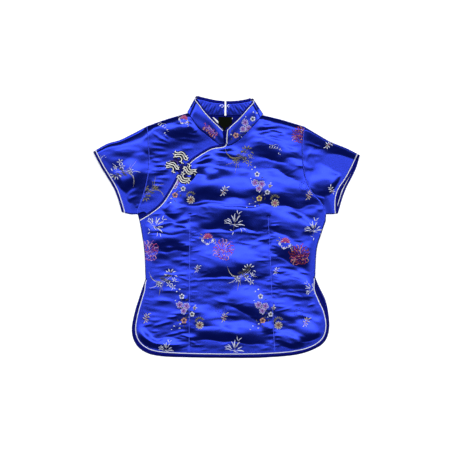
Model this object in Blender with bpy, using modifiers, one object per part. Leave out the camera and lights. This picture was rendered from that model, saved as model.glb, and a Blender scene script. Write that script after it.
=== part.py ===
"""Short-sleeved satin brocade blouse with a mandarin collar, laid flat.

Metres, +Z up, +Y towards the collar and +X to the right of the front as it is seen. The back
lies on the floor at z = 0 and the front lies on the back. Every outline below is a short table
of (x, y) points that a smooth line is drawn through.
"""
import math

import bmesh
import bpy
import numpy as np
from mathutils import Matrix, Vector
from mathutils.bvhtree import BVHTree

# Cloth, seams and trim
CLOTH = 0.0012
SEAM = 0.0003
PIPING_RADIUS = 0.0010
BACK_PIPING_RADIUS = 0.0006
BINDING_WIDTH = 0.0052
PIPING_OFFSET = BINDING_WIDTH + SEAM + PIPING_RADIUS
PANEL_OFFSET = PIPING_OFFSET + PIPING_RADIUS + SEAM
SLIT_START_SHARE = 0.15
SLIT_TAPER = 0.030

# Heights of the upper face of the front
EDGE_HEIGHT = CLOTH + SEAM + CLOTH
OVERLAP_HEIGHT = EDGE_HEIGHT + SEAM + CLOTH
CHEST_HEIGHT = 0.0062
FLAT_MARGIN = 0.008
OVERLAP_MARGIN = 0.014
CHEST_MARGIN = 0.050
PLACKET_RISE_WIDTH = 0.045
UNDERLAP_RISE_WIDTH = 0.036
SLEEVE_RISE_WIDTH = 0.020
FOLD_FADE_EDGE = 0.018
FOLD_FADE_SEAM = 0.014
FOLD_ROUNDNESS = 1.3
FOLD_END_ROUNDNESS = 0.8
SLEEVE_FOLD_HEIGHT = 0.0042
FOLD_INSET = 0.0022
FOLD_NOTCH = 0.0016
FRONT_TIP_STEP = 0.0015
EDGE_CLEARANCE = 0.0009
MERGE_DISTANCE = 0.00005

# Outlines of the body
SIDE_LEFT = [(-0.2040, 0.0120), (-0.1990, -0.0160), (-0.1930, -0.0600), (-0.1905, -0.1200)]
SIDE_RIGHT = [(0.2330, 0.0140), (0.2220, -0.0180), (0.2120, -0.0540), (0.2083, -0.1160)]
FRONT_HEM = [
    (-0.1905, -0.1240), (-0.2030, -0.1620), (-0.2150, -0.2050), (-0.2200, -0.2400), (-0.2130, -0.2680),
    (-0.1930, -0.2880), (-0.1600, -0.2990), (-0.0900, -0.3035), (0.0100, -0.3050), (0.0950, -0.3035),
    (0.1600, -0.2980), (0.2030, -0.2860), (0.2300, -0.2660), (0.2400, -0.2360), (0.2350, -0.2000),
    (0.2220, -0.1700), (0.2120, -0.1450), (0.2080, -0.1200)]
BACK_HEM = [
    (-0.1905, -0.1220), (-0.2040, -0.1620), (-0.2170, -0.2050), (-0.2228, -0.2430), (-0.2150, -0.2720),
    (-0.1950, -0.2920), (-0.1600, -0.3030), (-0.0900, -0.3065), (0.0300, -0.3080), (0.0950, -0.3065),
    (0.1650, -0.3000), (0.2100, -0.2850), (0.2330, -0.2660), (0.2415, -0.2360), (0.2390, -0.2000),
    (0.2320, -0.1700), (0.2190, -0.1430), (0.2085, -0.1180)]
HEM_CORNER_LEFT = (-0.1900, -0.2800)
HEM_CORNER_RIGHT = (0.2100, -0.2740)
ARMHOLE_LEFT = [
    (-0.2090, 0.0300), (-0.2070, 0.0450), (-0.1980, 0.0700), (-0.1870, 0.1100), (-0.1820, 0.1500),
    (-0.1830, 0.1900), (-0.1870, 0.2370)]
ARMHOLE_RIGHT = [
    (0.2340, 0.0300), (0.2230, 0.0570), (0.2040, 0.0780), (0.1880, 0.1080), (0.1810, 0.1450),
    (0.1790, 0.1900), (0.1830, 0.2360)]
SHOULDER_LEFT = [(-0.1870, 0.2370), (-0.1420, 0.2530), (-0.0910, 0.2680)]
SHOULDER_RIGHT = [(0.1830, 0.2360), (0.1300, 0.2520), (0.0850, 0.2630)]
NECK_LEFT = [
    (-0.0160, 0.1930), (-0.0300, 0.2040), (-0.0470, 0.2180), (-0.0660, 0.2340), (-0.0910, 0.2680)]
NECK_RIGHT = [
    (0.0018, 0.1905), (0.0150, 0.1950), (0.0300, 0.2040), (0.0480, 0.2220), (0.0660, 0.2410),
    (0.0850, 0.2630)]
BACK_NECK = [(-0.0910, 0.2680), (-0.0600, 0.2650), (-0.0300, 0.2625), (0.0300, 0.2620), (0.0850, 0.2630)]
PLACKET = [
    (0.0005, 0.1945), (-0.0040, 0.1890), (-0.0120, 0.1868), (-0.0340, 0.1830), (-0.0600, 0.1690),
    (-0.0850, 0.1500), (-0.1100, 0.1180), (-0.1280, 0.0870), (-0.1500, 0.0540), (-0.1750, 0.0330),
    (-0.2030, 0.0155)]
UNDERLAP_EDGE = [
    (-0.2080, 0.0285), (-0.1930, 0.0330), (-0.1780, 0.0230), (-0.1500, 0.0280), (-0.1180, 0.0620),
    (-0.0900, 0.1020), (-0.0600, 0.1360), (-0.0140, 0.1650)]
CENTRE_BACK = -0.0026
SLIT_HALF_GAP = 0.0020

# Outlines of the sleeves, from the underarm to the shoulder fold
SLEEVE_TOP_LEFT = [
    (-0.1870, 0.2370), (-0.2170, 0.2210), (-0.2500, 0.2050), (-0.2800, 0.1960), (-0.3135, 0.1770)]
SLEEVE_TOP_RIGHT = [
    (0.1830, 0.2360), (0.2150, 0.2170), (0.2450, 0.2000), (0.2800, 0.1860), (0.3135, 0.1690)]
UNDERARM_LEFT = [(-0.2090, 0.0300), (-0.2250, 0.0300), (-0.2460, 0.0350)]
UNDERARM_RIGHT = [(0.2340, 0.0300), (0.2480, 0.0300), (0.2620, 0.0320)]
SLEEVE_HEM_LEFT = [
    (-0.2460, 0.0350), (-0.2530, 0.0590), (-0.2630, 0.0870), (-0.2790, 0.1150), (-0.2960, 0.1430),
    (-0.3135, 0.1770)]
SLEEVE_HEM_RIGHT = [
    (0.2620, 0.0320), (0.2610, 0.0510), (0.2625, 0.0700), (0.2690, 0.0880), (0.2850, 0.1120),
    (0.2990, 0.1380), (0.3135, 0.1690)]
SLEEVE_BACK_HEM_RIGHT = [
    (0.2620, 0.0320), (0.2720, 0.0670), (0.2820, 0.0930), (0.2930, 0.1140), (0.3050, 0.1400),
    (0.3135, 0.1690)]

# Folds of the front: the crest's centre, its turn from +X, half its length, the widths of the
# slope above and the slope below it, its height and how far its ends hang below its middle
FOLD_COLUMNS = ("x", "y", "turn", "reach", "above", "below", "height", "hang")
FOLDS = [
    (0.043, 0.100, -5, 0.130, 0.050, 0.036, 0.0055, 0.006),
    (0.022, 0.036, 0, 0.090, 0.040, 0.048, 0.0068, 0.022),
    (-0.128, -0.026, 3, 0.052, 0.034, 0.032, 0.0048, 0.000),
    (0.004, -0.080, -4, 0.098, 0.048, 0.038, 0.0050, 0.004),
    (0.160, -0.050, -26, 0.062, 0.045, 0.032, 0.0050, 0.000),
    (0.140, 0.030, -12, 0.045, 0.036, 0.028, 0.0036, 0.004),
    (0.040, -0.184, -27, 0.056, 0.040, 0.026, 0.0042, 0.000),
    (0.004, -0.246, -2, 0.094, 0.030, 0.028, 0.0056, 0.006),
    (-0.014, -0.213, -8, 0.056, 0.030, 0.024, 0.0036, 0.000),
    (-0.150, -0.262, -8, 0.048, 0.040, 0.024, 0.0040, 0.000),
    (0.192, -0.246, 8, 0.032, 0.030, 0.020, 0.0040, 0.000),
    (0.142, -0.256, -20, 0.042, 0.030, 0.024, 0.0040, 0.000),
    (0.123, 0.190, -12, 0.066, 0.034, 0.034, 0.0048, 0.004),
    (0.145, 0.136, -22, 0.046, 0.034, 0.026, 0.0040, 0.000),
    (-0.105, 0.228, -14, 0.048, 0.022, 0.030, 0.0040, 0.000),
    (-0.150, 0.100, 6, 0.034, 0.022, 0.020, 0.0030, 0.000),
    (-0.112, 0.040, -16, 0.040, 0.030, 0.026, 0.0040, 0.000),
    (-0.120, -0.130, 4, 0.060, 0.040, 0.040, 0.0026, 0.000),
    (-0.105, -0.195, -6, 0.060, 0.045, 0.040, 0.0030, 0.000),
    (0.130, -0.150, -34, 0.050, 0.035, 0.035, 0.0030, 0.000),
    (-0.218, 0.075, 26, 0.034, 0.026, 0.024, 0.0046, 0.000),
    (-0.236, 0.140, 12, 0.058, 0.048, 0.050, 0.0050, 0.000),
    (0.226, 0.196, -26, 0.054, 0.022, 0.028, 0.0040, 0.000),
    (0.243, 0.116, -16, 0.056, 0.050, 0.034, 0.0058, 0.000),
]

# Darts: the crease's two ends and how deep and wide it is
DARTS = [((-0.0860, 0.0300), (-0.0880, -0.2720)), ((0.0980, 0.0250), (0.1130, -0.2720))]
DART_DEPTH = 0.0009
DART_WIDTH = 0.0045

# Collar: the upper edge of its wall, from the centre back to the fold at the side of the neck and
# from that fold to the centre front
COLLAR_BACK_TOP_LEFT = [(-0.0046, 0.2895), (-0.0300, 0.2925), (-0.0540, 0.2980), (-0.0715, 0.3025)]
COLLAR_BACK_TOP_RIGHT = [(-0.0006, 0.2895), (0.0250, 0.2900), (0.0460, 0.2930), (0.0600, 0.2955)]
COLLAR_FRONT_TOP_LEFT = [
    (-0.0780, 0.2990), (-0.0670, 0.2860), (-0.0525, 0.2680), (-0.0370, 0.2515), (-0.0230, 0.2380),
    (-0.0085, 0.2245)]
COLLAR_FRONT_TOP_RIGHT = [
    (0.0680, 0.2915), (0.0530, 0.2765), (0.0385, 0.2610), (0.0255, 0.2475), (0.0140, 0.2375),
    (0.0048, 0.2285)]
COLLAR_FOLD_LEFT = ((-0.0920, 0.2700), (-0.0800, 0.3005))
COLLAR_FOLD_RIGHT = ((0.0865, 0.2650), (0.0705, 0.2935))
COLLAR_FRONT_END = [
    (0.0036, 0.2294), (0.0027, 0.2274), (0.0018, 0.2200), (0.0008, 0.2070), (0.0008, 0.1962)]
COLLAR_FOLD_HEIGHT = 0.0048
COLLAR_FOLD_TURNS = (-50.0, 0.0, 50.0)
COLLAR_RISE = 0.0040
COLLAR_START_RISE = 0.25
COLLAR_FOLD_EASE = 0.0008
COLLAR_SEAM_LIFT = 0.0002
COLLAR_GAP = 0.0007
COLLAR_BULGE = 0.0010
COLLAR_BINDING = 0.0032
PLACKET_BINDING_START = -0.0090

# Frog: each lobe is one cord laid in three nested arches with loops for fingers, and the top lobe
# is as it is drawn here. The loop's tail and its opening are turned from +X
LOBE_CORD = [
    (-0.0148, 0.0131), (-0.0107, 0.0090), (-0.0066, 0.0080), (-0.0034, 0.0100), (0.0007, 0.0112),
    (0.0052, 0.0093), (0.0083, 0.0052), (0.0097, 0.0010), (0.0126, -0.0004), (0.0148, -0.0031),
    (0.0138, -0.0062), (0.0103, -0.0055), (0.0072, -0.0028), (0.0038, 0.0003), (-0.0003, 0.0036),
    (-0.0048, 0.0050), (-0.0093, 0.0048), (-0.0131, 0.0048), (-0.0141, 0.0024), (-0.0117, 0.0000),
    (-0.0072, 0.0008), (-0.0034, -0.0010), (0.0000, -0.0041), (0.0014, -0.0072), (0.0000, -0.0110),
    (0.0021, -0.0152)]
LOBE_RADIUS = 0.0014
LOBES = [
    ("frog_lobe_top", -0.1070, 0.1648, 0, 1.00),
    ("frog_lobe_left", -0.1270, 0.1410, 6, 0.92),
    ("frog_lobe_right", -0.0866, 0.1349, 180, 0.92),
    ("frog_lobe_bottom", -0.1010, 0.1150, 180, 0.92)]
FROG_CENTRE = (-0.1060, 0.1380)
FROG_REACH = 0.036
KNOT_PLACE = (-0.1080, 0.1348)
KNOT_RADIUS = 0.0028
KNOT_FLATNESS = 0.85
LOOP_TURN = 59
LOOP_TAIL = 0.0180
LOOP_SPREAD = 0.0014
LOOP_OPENING = 24
LOOP_RADIUS = 0.0008
FROG_LIFT = 0.0004
CORD_REACH = 0.0008
RAY_START = 0.1
RAY_PLACES = [(share, math.radians(turn)) for share in (0.0, 0.5, 1.0) for turn in range(0, 360, 45)]

# Small things inside the neck
HOOK_WIRE = [
    (-0.0150, 0.2830), (-0.0150, 0.2860), (-0.0120, 0.2872), (-0.0070, 0.2860), (-0.0058, 0.2844),
    (-0.0070, 0.2828), (-0.0120, 0.2818)]
EYE_WIRE = [
    (0.0060, 0.2820), (0.0030, 0.2826), (0.0010, 0.2840), (0.0010, 0.2856), (0.0030, 0.2870),
    (0.0060, 0.2876)]
WIRE_RADIUS = 0.0005
TAG_CENTRE = (-0.0090, 0.2500)
TAG_SIZE = (0.0480, 0.0140)
TAG_TURN = -8
TAG_THICKNESS = 0.0006
LABEL_CENTRE = (-0.0030, 0.2430)
LABEL_SIZE = (0.0320, 0.0320)
LABEL_THICKNESS = 0.0010

# Mesh counts
PLACKET_STATIONS = [*np.linspace(0.0, 0.935, 12), 0.966, 0.985, 1.0]
NECK_COLUMNS = 5
SHOULDER_COLUMNS = 3
SKIRT_ROWS = 10
WAIST_ROWS = 8
UNDERLAP_COLUMNS = 10
SLEEVE_AROUND = 11
SLEEVE_ALONG = 8
SLEEVE_FINE = 60
HEM_COUNT = 46
PLACKET_COUNT = 22
COLLAR_BACK_COUNT = 6
COLLAR_FRONT_COUNT = 10
LOBE_COUNT = 40
LOOP_STATIONS = 18
LOOP_COUNT = 30
KNOT_SEGMENTS = 14
KNOT_RINGS = 8
WIRE_COUNT = 14
OUTLINE_COUNT = 60
GUIDE_COUNT = 240
BACK_NECK_COUNT = 12
BACK_SIDE_COUNT = 8
BACK_SHOULDER_COUNT = 4
STATION_EVENNESS = 0.5
TRIM_FOLD_POINTS = 3
CLOTH_FOLD_POINTS = 1
CURVE_STEPS = 12

# Colours: name, base colour, roughness, metallic
SATIN = ("blue_satin", (0.012, 0.025, 0.62, 1.0), 0.32, 0.0)
BINDING = ("binding_satin", (0.010, 0.015, 0.35, 1.0), 0.35, 0.0)
PIPING = ("white_piping", (0.78, 0.78, 0.86, 1.0), 0.45, 0.0)
CORD = ("silver_cord", (0.72, 0.70, 0.62, 1.0), 0.40, 0.0)
NAVY = ("navy_cord", (0.008, 0.009, 0.10, 1.0), 0.45, 0.0)
METAL = ("wire_metal", (0.75, 0.75, 0.74, 1.0), 0.25, 1.0)
BLACK = ("black_tape", (0.012, 0.012, 0.012, 1.0), 0.70, 0.0)
WHITE = ("white_tape", (0.85, 0.85, 0.84, 1.0), 0.60, 0.0)


def clear_scene():
    for old in list(bpy.data.objects):
        bpy.data.objects.remove(old, do_unlink=True)


def part_collection():
    group = bpy.data.collections.new("brocade_blouse")
    bpy.context.scene.collection.children.link(group)
    return group


def resample(line, count):
    """The same line with count equal steps along its length."""
    steps = np.linalg.norm(np.diff(line, axis=0), axis=1)
    walked = np.concatenate(([0.0], np.cumsum(steps)))
    wanted = np.linspace(0.0, walked[-1], count + 1)
    return np.column_stack([np.interp(wanted, walked, line[:, axis]) for axis in range(line.shape[1])])


def smooth(points, count=None):
    """A Catmull-Rom curve through the points, in equal steps if a count is given."""
    rows = np.array(points, dtype=float)
    ends = np.vstack([2 * rows[0] - rows[1], rows, 2 * rows[-1] - rows[-2]])
    curve = []
    for before, start, end, after in zip(ends, ends[1:], ends[2:], ends[3:]):
        for step in range(CURVE_STEPS):
            t = step / CURVE_STEPS
            curve.append(0.5 * (2 * start + (end - before) * t
                                + (2 * before - 5 * start + 4 * end - after) * t ** 2
                                + (3 * start - before - 3 * end + after) * t ** 3))
    curve.append(rows[-1])
    curve = np.array(curve)
    return resample(curve, count) if count else curve


def ease(value):
    value = np.clip(value, 0.0, 1.0)
    return value * value * (3.0 - 2.0 * value)


def left_normals(line):
    along = np.gradient(line, axis=0)
    along /= np.linalg.norm(along, axis=1)[:, None]
    return np.column_stack([-along[:, 1], along[:, 0]])


def offset(line, distance):
    """The line moved to its left by a distance, which may change along it."""
    return line + left_normals(line) * np.reshape(distance, (-1, 1))


def distance_to(points, line):
    """How far each point is from a line of straight steps."""
    points = np.atleast_2d(points)
    nearest = np.full(len(points), np.inf)
    for start, end in zip(line, line[1:]):
        span = end - start
        share = np.clip(((points - start) @ span) / max(span @ span, 1e-12), 0.0, 1.0)
        gap = np.linalg.norm(points - start - share[:, None] * span, axis=1)
        nearest = np.minimum(nearest, gap)
    return nearest


def cut_at(line, corner):
    """The line's two stretches, before and after the point nearest to a corner."""
    index = int(np.argmin(np.linalg.norm(line - np.array(corner), axis=1)))
    return line[:index + 1], line[index:]


def hem_taper(line):
    """The binding is narrow where a slit opens out of the side seam, and full further along."""
    steps = np.concatenate(([0.0], np.cumsum(np.linalg.norm(np.diff(line, axis=0), axis=1))))
    from_end = np.minimum(steps, steps[-1] - steps)
    return SLIT_START_SHARE + (1.0 - SLIT_START_SHARE) * ease(from_end / SLIT_TAPER)


def garment_outline():
    """The blouse's own outline, closed across the neck between the two shoulder seams."""
    return np.vstack([
        smooth(FRONT_HEM, OUTLINE_COUNT), smooth(SIDE_RIGHT)[::-1], smooth(UNDERARM_RIGHT),
        smooth(SLEEVE_HEM_RIGHT), smooth(SLEEVE_TOP_RIGHT)[::-1], smooth(SHOULDER_RIGHT),
        smooth(SHOULDER_LEFT)[::-1], smooth(SLEEVE_TOP_LEFT), smooth(SLEEVE_HEM_LEFT)[::-1],
        smooth(UNDERARM_LEFT)[::-1], smooth(SIDE_LEFT)])


OUTLINE = garment_outline()
PLACKET_LINE = smooth(PLACKET)
NECK_LINE = np.vstack([smooth(NECK_LEFT)[::-1], smooth(NECK_RIGHT)])


def fold_relief(points):
    """The folds' height at each point: round over a crest and sharp in the valley below it."""
    relief = np.zeros(len(points))
    for row in FOLDS:
        fold = dict(zip(FOLD_COLUMNS, row))
        turn = math.radians(fold["turn"])
        delta = points - np.array((fold["x"], fold["y"]))
        along = (delta[:, 0] * math.cos(turn) + delta[:, 1] * math.sin(turn)) / fold["reach"]
        across = delta[:, 1] * math.cos(turn) - delta[:, 0] * math.sin(turn)
        across = across + fold["hang"] * along ** 2
        width = np.where(across > 0.0, fold["above"], fold["below"])
        slope = np.cos(0.5 * math.pi * np.clip(np.abs(across) / width, 0.0, 1.0))
        run = np.cos(0.5 * math.pi * np.clip(along, -1.0, 1.0))
        relief += fold["height"] * slope ** FOLD_ROUNDNESS * run ** FOLD_END_ROUNDNESS
    return relief


def dart_relief(points):
    relief = np.zeros(len(points))
    for ends in DARTS:
        gap = distance_to(points, np.array(ends))
        relief -= DART_DEPTH * (1.0 - ease(gap / DART_WIDTH))
    return relief


def front_height(points):
    """The upper face of the front and of the sleeves' front layers."""
    points = np.atleast_2d(points)
    inside = distance_to(points, OUTLINE)
    over_edge = ease((inside - FLAT_MARGIN) / (OVERLAP_MARGIN - FLAT_MARGIN))
    base = EDGE_HEIGHT + (OVERLAP_HEIGHT - EDGE_HEIGHT) * over_edge
    from_placket = distance_to(points, PLACKET_LINE)
    chest = ease((inside - FLAT_MARGIN) / CHEST_MARGIN) * ease(from_placket / PLACKET_RISE_WIDTH)
    base += (CHEST_HEIGHT - OVERLAP_HEIGHT) * chest
    free = ease((inside - FLAT_MARGIN) / FOLD_FADE_EDGE) * ease(from_placket / FOLD_FADE_SEAM)
    free *= ease(distance_to(points, NECK_LINE) / FOLD_FADE_SEAM)
    frog_gap = np.linalg.norm(points - np.array(FROG_CENTRE), axis=1)
    free *= ease((frog_gap - FROG_REACH) / FOLD_FADE_EDGE)
    return base + free * (fold_relief(points) + dart_relief(points))


def underlap_height(points):
    """The underlap lies flat under the placket and rises to the front's height beyond it."""
    points = np.atleast_2d(points)
    gap = distance_to(points, PLACKET_LINE)
    over = points[:, 1] > np.interp(points[:, 0], PLACKET_LINE[::-1, 0], PLACKET_LINE[::-1, 1])
    share = np.where(over, ease((gap - PIPING_OFFSET) / UNDERLAP_RISE_WIDTH), 0.0)
    return EDGE_HEIGHT + share * (front_height(points) - EDGE_HEIGHT)


def sleeve_height(points, armhole):
    """A sleeve's front layer meets the front at the armhole and is rounder further along."""
    away = ease(distance_to(points, armhole) / SLEEVE_RISE_WIDTH)
    least = EDGE_HEIGHT + away * (SLEEVE_FOLD_HEIGHT - EDGE_HEIGHT)
    return np.maximum(front_height(points), least)


def coons(bottom, top, left, right):
    """A grid of points between four lines: rows go from bottom to top."""
    rows, columns = len(left), len(bottom)
    u = np.linspace(0.0, 1.0, columns)[None, :, None]
    v = np.linspace(0.0, 1.0, rows)[:, None, None]
    ruled_v = (1 - v) * bottom[None] + v * top[None]
    ruled_u = (1 - u) * left[:, None] + u * right[:, None]
    corners = ((1 - u) * (1 - v) * bottom[0] + u * (1 - v) * bottom[-1]
               + (1 - u) * v * top[0] + u * v * top[-1])
    return ruled_v + ruled_u - corners


def grid_mesh(name, grid):
    """A sheet through a grid of (x, y, z) points, its faces looking up."""
    rows, columns = grid.shape[:2]
    shape = bmesh.new()
    bmesh.ops.create_grid(shape, x_segments=columns - 1, y_segments=rows - 1, size=0.5)
    for vertex in shape.verts:
        column = round((vertex.co.x + 0.5) * (columns - 1))
        row = round((vertex.co.y + 0.5) * (rows - 1))
        vertex.co = Vector(grid[row, column])
    mesh = bpy.data.meshes.new(name)
    shape.to_mesh(mesh)
    shape.free()
    return mesh


def material(look):
    name, colour, roughness, metallic = look
    made = bpy.data.materials.get(name) or bpy.data.materials.new(name)
    made.use_nodes = True
    shader = made.node_tree.nodes["Principled BSDF"]
    shader.inputs["Base Color"].default_value = colour
    shader.inputs["Roughness"].default_value = roughness
    shader.inputs["Metallic"].default_value = metallic
    return made


def add_object(group, name, data, look):
    piece = bpy.data.objects.new(name, data)
    data.materials.append(material(look))
    group.objects.link(piece)
    return piece


def thicken(piece, thickness):
    wall = piece.modifiers.new("wall", "SOLIDIFY")
    wall.thickness = thickness
    wall.offset = -1.0
    wall.use_even_offset = True
    piece.data.shade_smooth()
    return piece


def add_sheet(group, name, grid, look, thickness=CLOTH):
    return thicken(add_object(group, name, grid_mesh(name, grid), look), thickness)


def add_strip(group, name, inner, outer, look, thickness=CLOTH):
    """A flat band between two lines of (x, y, z) points; outer is on the inner line's right."""
    return add_sheet(group, name, np.stack([outer, inner]), look, thickness)


def add_tube(group, name, path, radius, look, closed=False, sides=1):
    """A round cord along (x, y, z) points."""
    curve = bpy.data.curves.new(name, "CURVE")
    curve.dimensions = "3D"
    curve.bevel_depth = radius
    curve.bevel_resolution = sides
    curve.use_fill_caps = not closed
    spline = curve.splines.new("POLY")
    spline.points.add(len(path) - 1)
    for point, place in zip(spline.points, path):
        point.co = (*place, 1.0)
    spline.use_cyclic_u = closed
    return add_object(group, name, curve, look)


def add_plate(group, name, outline, base, thickness, look):
    """A flat piece of cloth with its underside at a height."""
    curve = bpy.data.curves.new(name, "CURVE")
    curve.dimensions = "2D"
    curve.fill_mode = "BOTH"
    curve.extrude = thickness / 2
    spline = curve.splines.new("POLY")
    spline.points.add(len(outline) - 1)
    for point, (x, y) in zip(spline.points, outline):
        point.co = (x, y, 0.0, 1.0)
    spline.use_cyclic_u = True
    piece = add_object(group, name, curve, look)
    piece.location.z = base + thickness / 2
    return piece


def with_height(line, height):
    """The line's (x, y) points with one height for all of them or one for each."""
    return np.column_stack([line, np.broadcast_to(height, len(line))])


def at_shares(line, shares):
    """Points of a line at shares of its length."""
    steps = np.linalg.norm(np.diff(line, axis=0), axis=1)
    walked = np.concatenate(([0.0], np.cumsum(steps)))
    wanted = np.asarray(shares) * walked[-1]
    return np.column_stack([np.interp(wanted, walked, line[:, axis]) for axis in range(line.shape[1])])


def shortened(line, distance):
    """The line without its last stretch."""
    length = np.linalg.norm(np.diff(line, axis=0), axis=1).sum()
    return at_shares(line, np.linspace(0.0, 1.0 - distance / length, len(line)))


def armhole_points(points, shift):
    """An armhole at the same stations for the panel and for the sleeve that meet along it."""
    line = offset(smooth(points), shift)
    length = np.linalg.norm(np.diff(line, axis=0), axis=1).sum()
    inset = FOLD_INSET / length
    between = np.linspace(inset, 1.0 - inset, SLEEVE_AROUND + 1)
    return at_shares(line, np.concatenate(([0.0], between, [1.0])))


def hem_line(points, count, beyond_binding):
    """A line beside a hem: the binding's width, tapered at the slits, and a distance past it."""
    line = smooth(points, count)
    return offset(line, BINDING_WIDTH * hem_taper(line) + beyond_binding)


def front_guides():
    """Four lines across the front, from the hem up, each with one point for each column."""
    hem = hem_line(FRONT_HEM, GUIDE_COUNT, SEAM + 2 * PIPING_RADIUS + EDGE_CLEARANCE)
    slit_left, rest = cut_at(hem, HEM_CORNER_LEFT)
    bottom, slit_right = cut_at(rest, HEM_CORNER_RIGHT)
    placket = offset(smooth(PLACKET, GUIDE_COUNT), PIPING_RADIUS + EDGE_CLEARANCE)[::-1]
    placket[0] = np.array(SIDE_LEFT[0]) + FRONT_TIP_STEP
    neck = offset(smooth(NECK_RIGHT), SEAM - EDGE_CLEARANCE)
    placket[-1] = neck[0]
    top = np.vstack([at_shares(placket, PLACKET_STATIONS), resample(neck, NECK_COLUMNS)[1:],
                     resample(smooth(SHOULDER_RIGHT)[::-1], SHOULDER_COLUMNS)[1:]])
    walked = np.concatenate(([0.0], np.cumsum(np.linalg.norm(np.diff(top, axis=0), axis=1))))
    even = np.linspace(0.0, 1.0, len(top))
    shares = STATION_EVENNESS * even + (1.0 - STATION_EVENNESS) * walked / walked[-1]
    bust = at_shares(np.array([SIDE_LEFT[0], SIDE_RIGHT[0]]), shares)
    slits = at_shares(np.array([slit_left[0], slit_right[-1]]), shares)
    return slit_left, slit_right, at_shares(bottom, shares), slits, bust, top


def add_front(group):
    slit_left, slit_right, bottom, slits, bust, top = front_guides()
    skirt = coons(bottom, slits, resample(slit_left[::-1], SKIRT_ROWS), resample(slit_right, SKIRT_ROWS))
    left_side = np.vstack([slit_left[:1], smooth(SIDE_LEFT)[::-1]])
    right_side = np.vstack([slit_right[-1:], smooth(SIDE_RIGHT)[::-1]])
    waist = coons(slits, bust, resample(left_side, WAIST_ROWS), resample(right_side, WAIST_ROWS))
    armhole = np.vstack([np.array([SIDE_RIGHT[0]]), armhole_points(ARMHOLE_RIGHT, SEAM / 2)])
    chest = coons(bust, top, resample(np.array([bust[0], top[0]]), len(armhole) - 1), armhole)
    plan = np.vstack([skirt, waist[1:], chest[1:]])
    height = front_height(plan.reshape(-1, 2)).reshape(plan.shape[:2])
    return add_sheet(group, "front_main", np.dstack([plan, height]), SATIN)


def add_underlap(group):
    edge = smooth(UNDERLAP_EDGE, UNDERLAP_COLUMNS)
    armhole = armhole_points(ARMHOLE_LEFT, -SEAM / 2)
    armhole[0] = edge[0]
    neck = smooth([UNDERLAP_EDGE[-1]] + NECK_LEFT, len(armhole) - 1)
    plan = coons(edge, smooth(SHOULDER_LEFT, UNDERLAP_COLUMNS), armhole, neck)
    height = underlap_height(plan.reshape(-1, 2)).reshape(plan.shape[:2])
    return add_sheet(group, "front_underlap", np.dstack([plan, height]), SATIN)


def add_backs(group):
    """Two flat halves that meet at the centre back."""
    hem = hem_line(BACK_HEM, HEM_COUNT, 2 * (SEAM + BACK_PIPING_RADIUS))
    neck = smooth(BACK_NECK, BACK_NECK_COUNT)
    left_seam = CENTRE_BACK - SEAM / 2
    right_seam = CENTRE_BACK + SEAM / 2
    left_hem = hem[hem[:, 0] < left_seam - FRONT_TIP_STEP]
    right_hem = hem[hem[:, 0] > right_seam + FRONT_TIP_STEP]
    left_neck = neck[neck[:, 0] < left_seam - FRONT_TIP_STEP]
    right_neck = neck[neck[:, 0] > right_seam + FRONT_TIP_STEP]
    left = np.vstack([
        [left_seam, left_hem[-1, 1]], left_hem[::-1], smooth(SIDE_LEFT, BACK_SIDE_COUNT)[::-1],
        armhole_points(ARMHOLE_LEFT, -SEAM / 2), smooth(SHOULDER_LEFT, BACK_SHOULDER_COUNT)[1:-1],
        left_neck, [left_seam, left_neck[-1, 1]]])
    right = np.vstack([
        [right_seam, right_hem[0, 1]], right_hem, smooth(SIDE_RIGHT, BACK_SIDE_COUNT)[::-1],
        armhole_points(ARMHOLE_RIGHT, SEAM / 2), smooth(SHOULDER_RIGHT, BACK_SHOULDER_COUNT)[1:-1],
        right_neck[::-1], [right_seam, right_neck[0, 1]]])
    add_plate(group, "back_left", left, 0.0, CLOTH, SATIN)
    add_plate(group, "back_right", right, 0.0, CLOTH, SATIN)


def flat_ring(front, back, front_z, back_z, fold_points):
    """A closed ring round a flat tube, up its front layer and down its back layer.

    Both lines run from the underarm to the shoulder between the same two folds. The ring leaves
    each line an inset before its end and turns in a half round to the other layer.
    """
    length = np.linalg.norm(np.diff(front, axis=0), axis=1).sum()
    inset = FOLD_INSET / length
    shares = np.linspace(inset, 1.0 - inset, SLEEVE_AROUND + 1)
    up = at_shares(front, shares)
    down = at_shares(back, shares)[::-1]
    up_z = np.broadcast_to(front_z(up), len(up))
    down_z = np.full(len(down), back_z)
    turns = np.linspace(-90, 90, fold_points + 2)[1:-1]

    def half_round(leave, leave_z, meet, meet_z, tip):
        middle, radius = (leave_z + meet_z) / 2, (meet_z - leave_z) / 2
        base = (leave + meet) / 2
        return [(*(base + (tip - base) * math.cos(math.radians(turn))),
                 middle + radius * math.sin(math.radians(turn))) for turn in turns]

    shoulder = half_round(up[-1], up_z[-1], down[0], down_z[0], front[-1])
    underarm = half_round(down[-1], down_z[-1], up[0], up_z[0], front[0])
    return np.vstack([np.column_stack([up, up_z]), shoulder, np.column_stack([down, down_z]), underarm])


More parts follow.
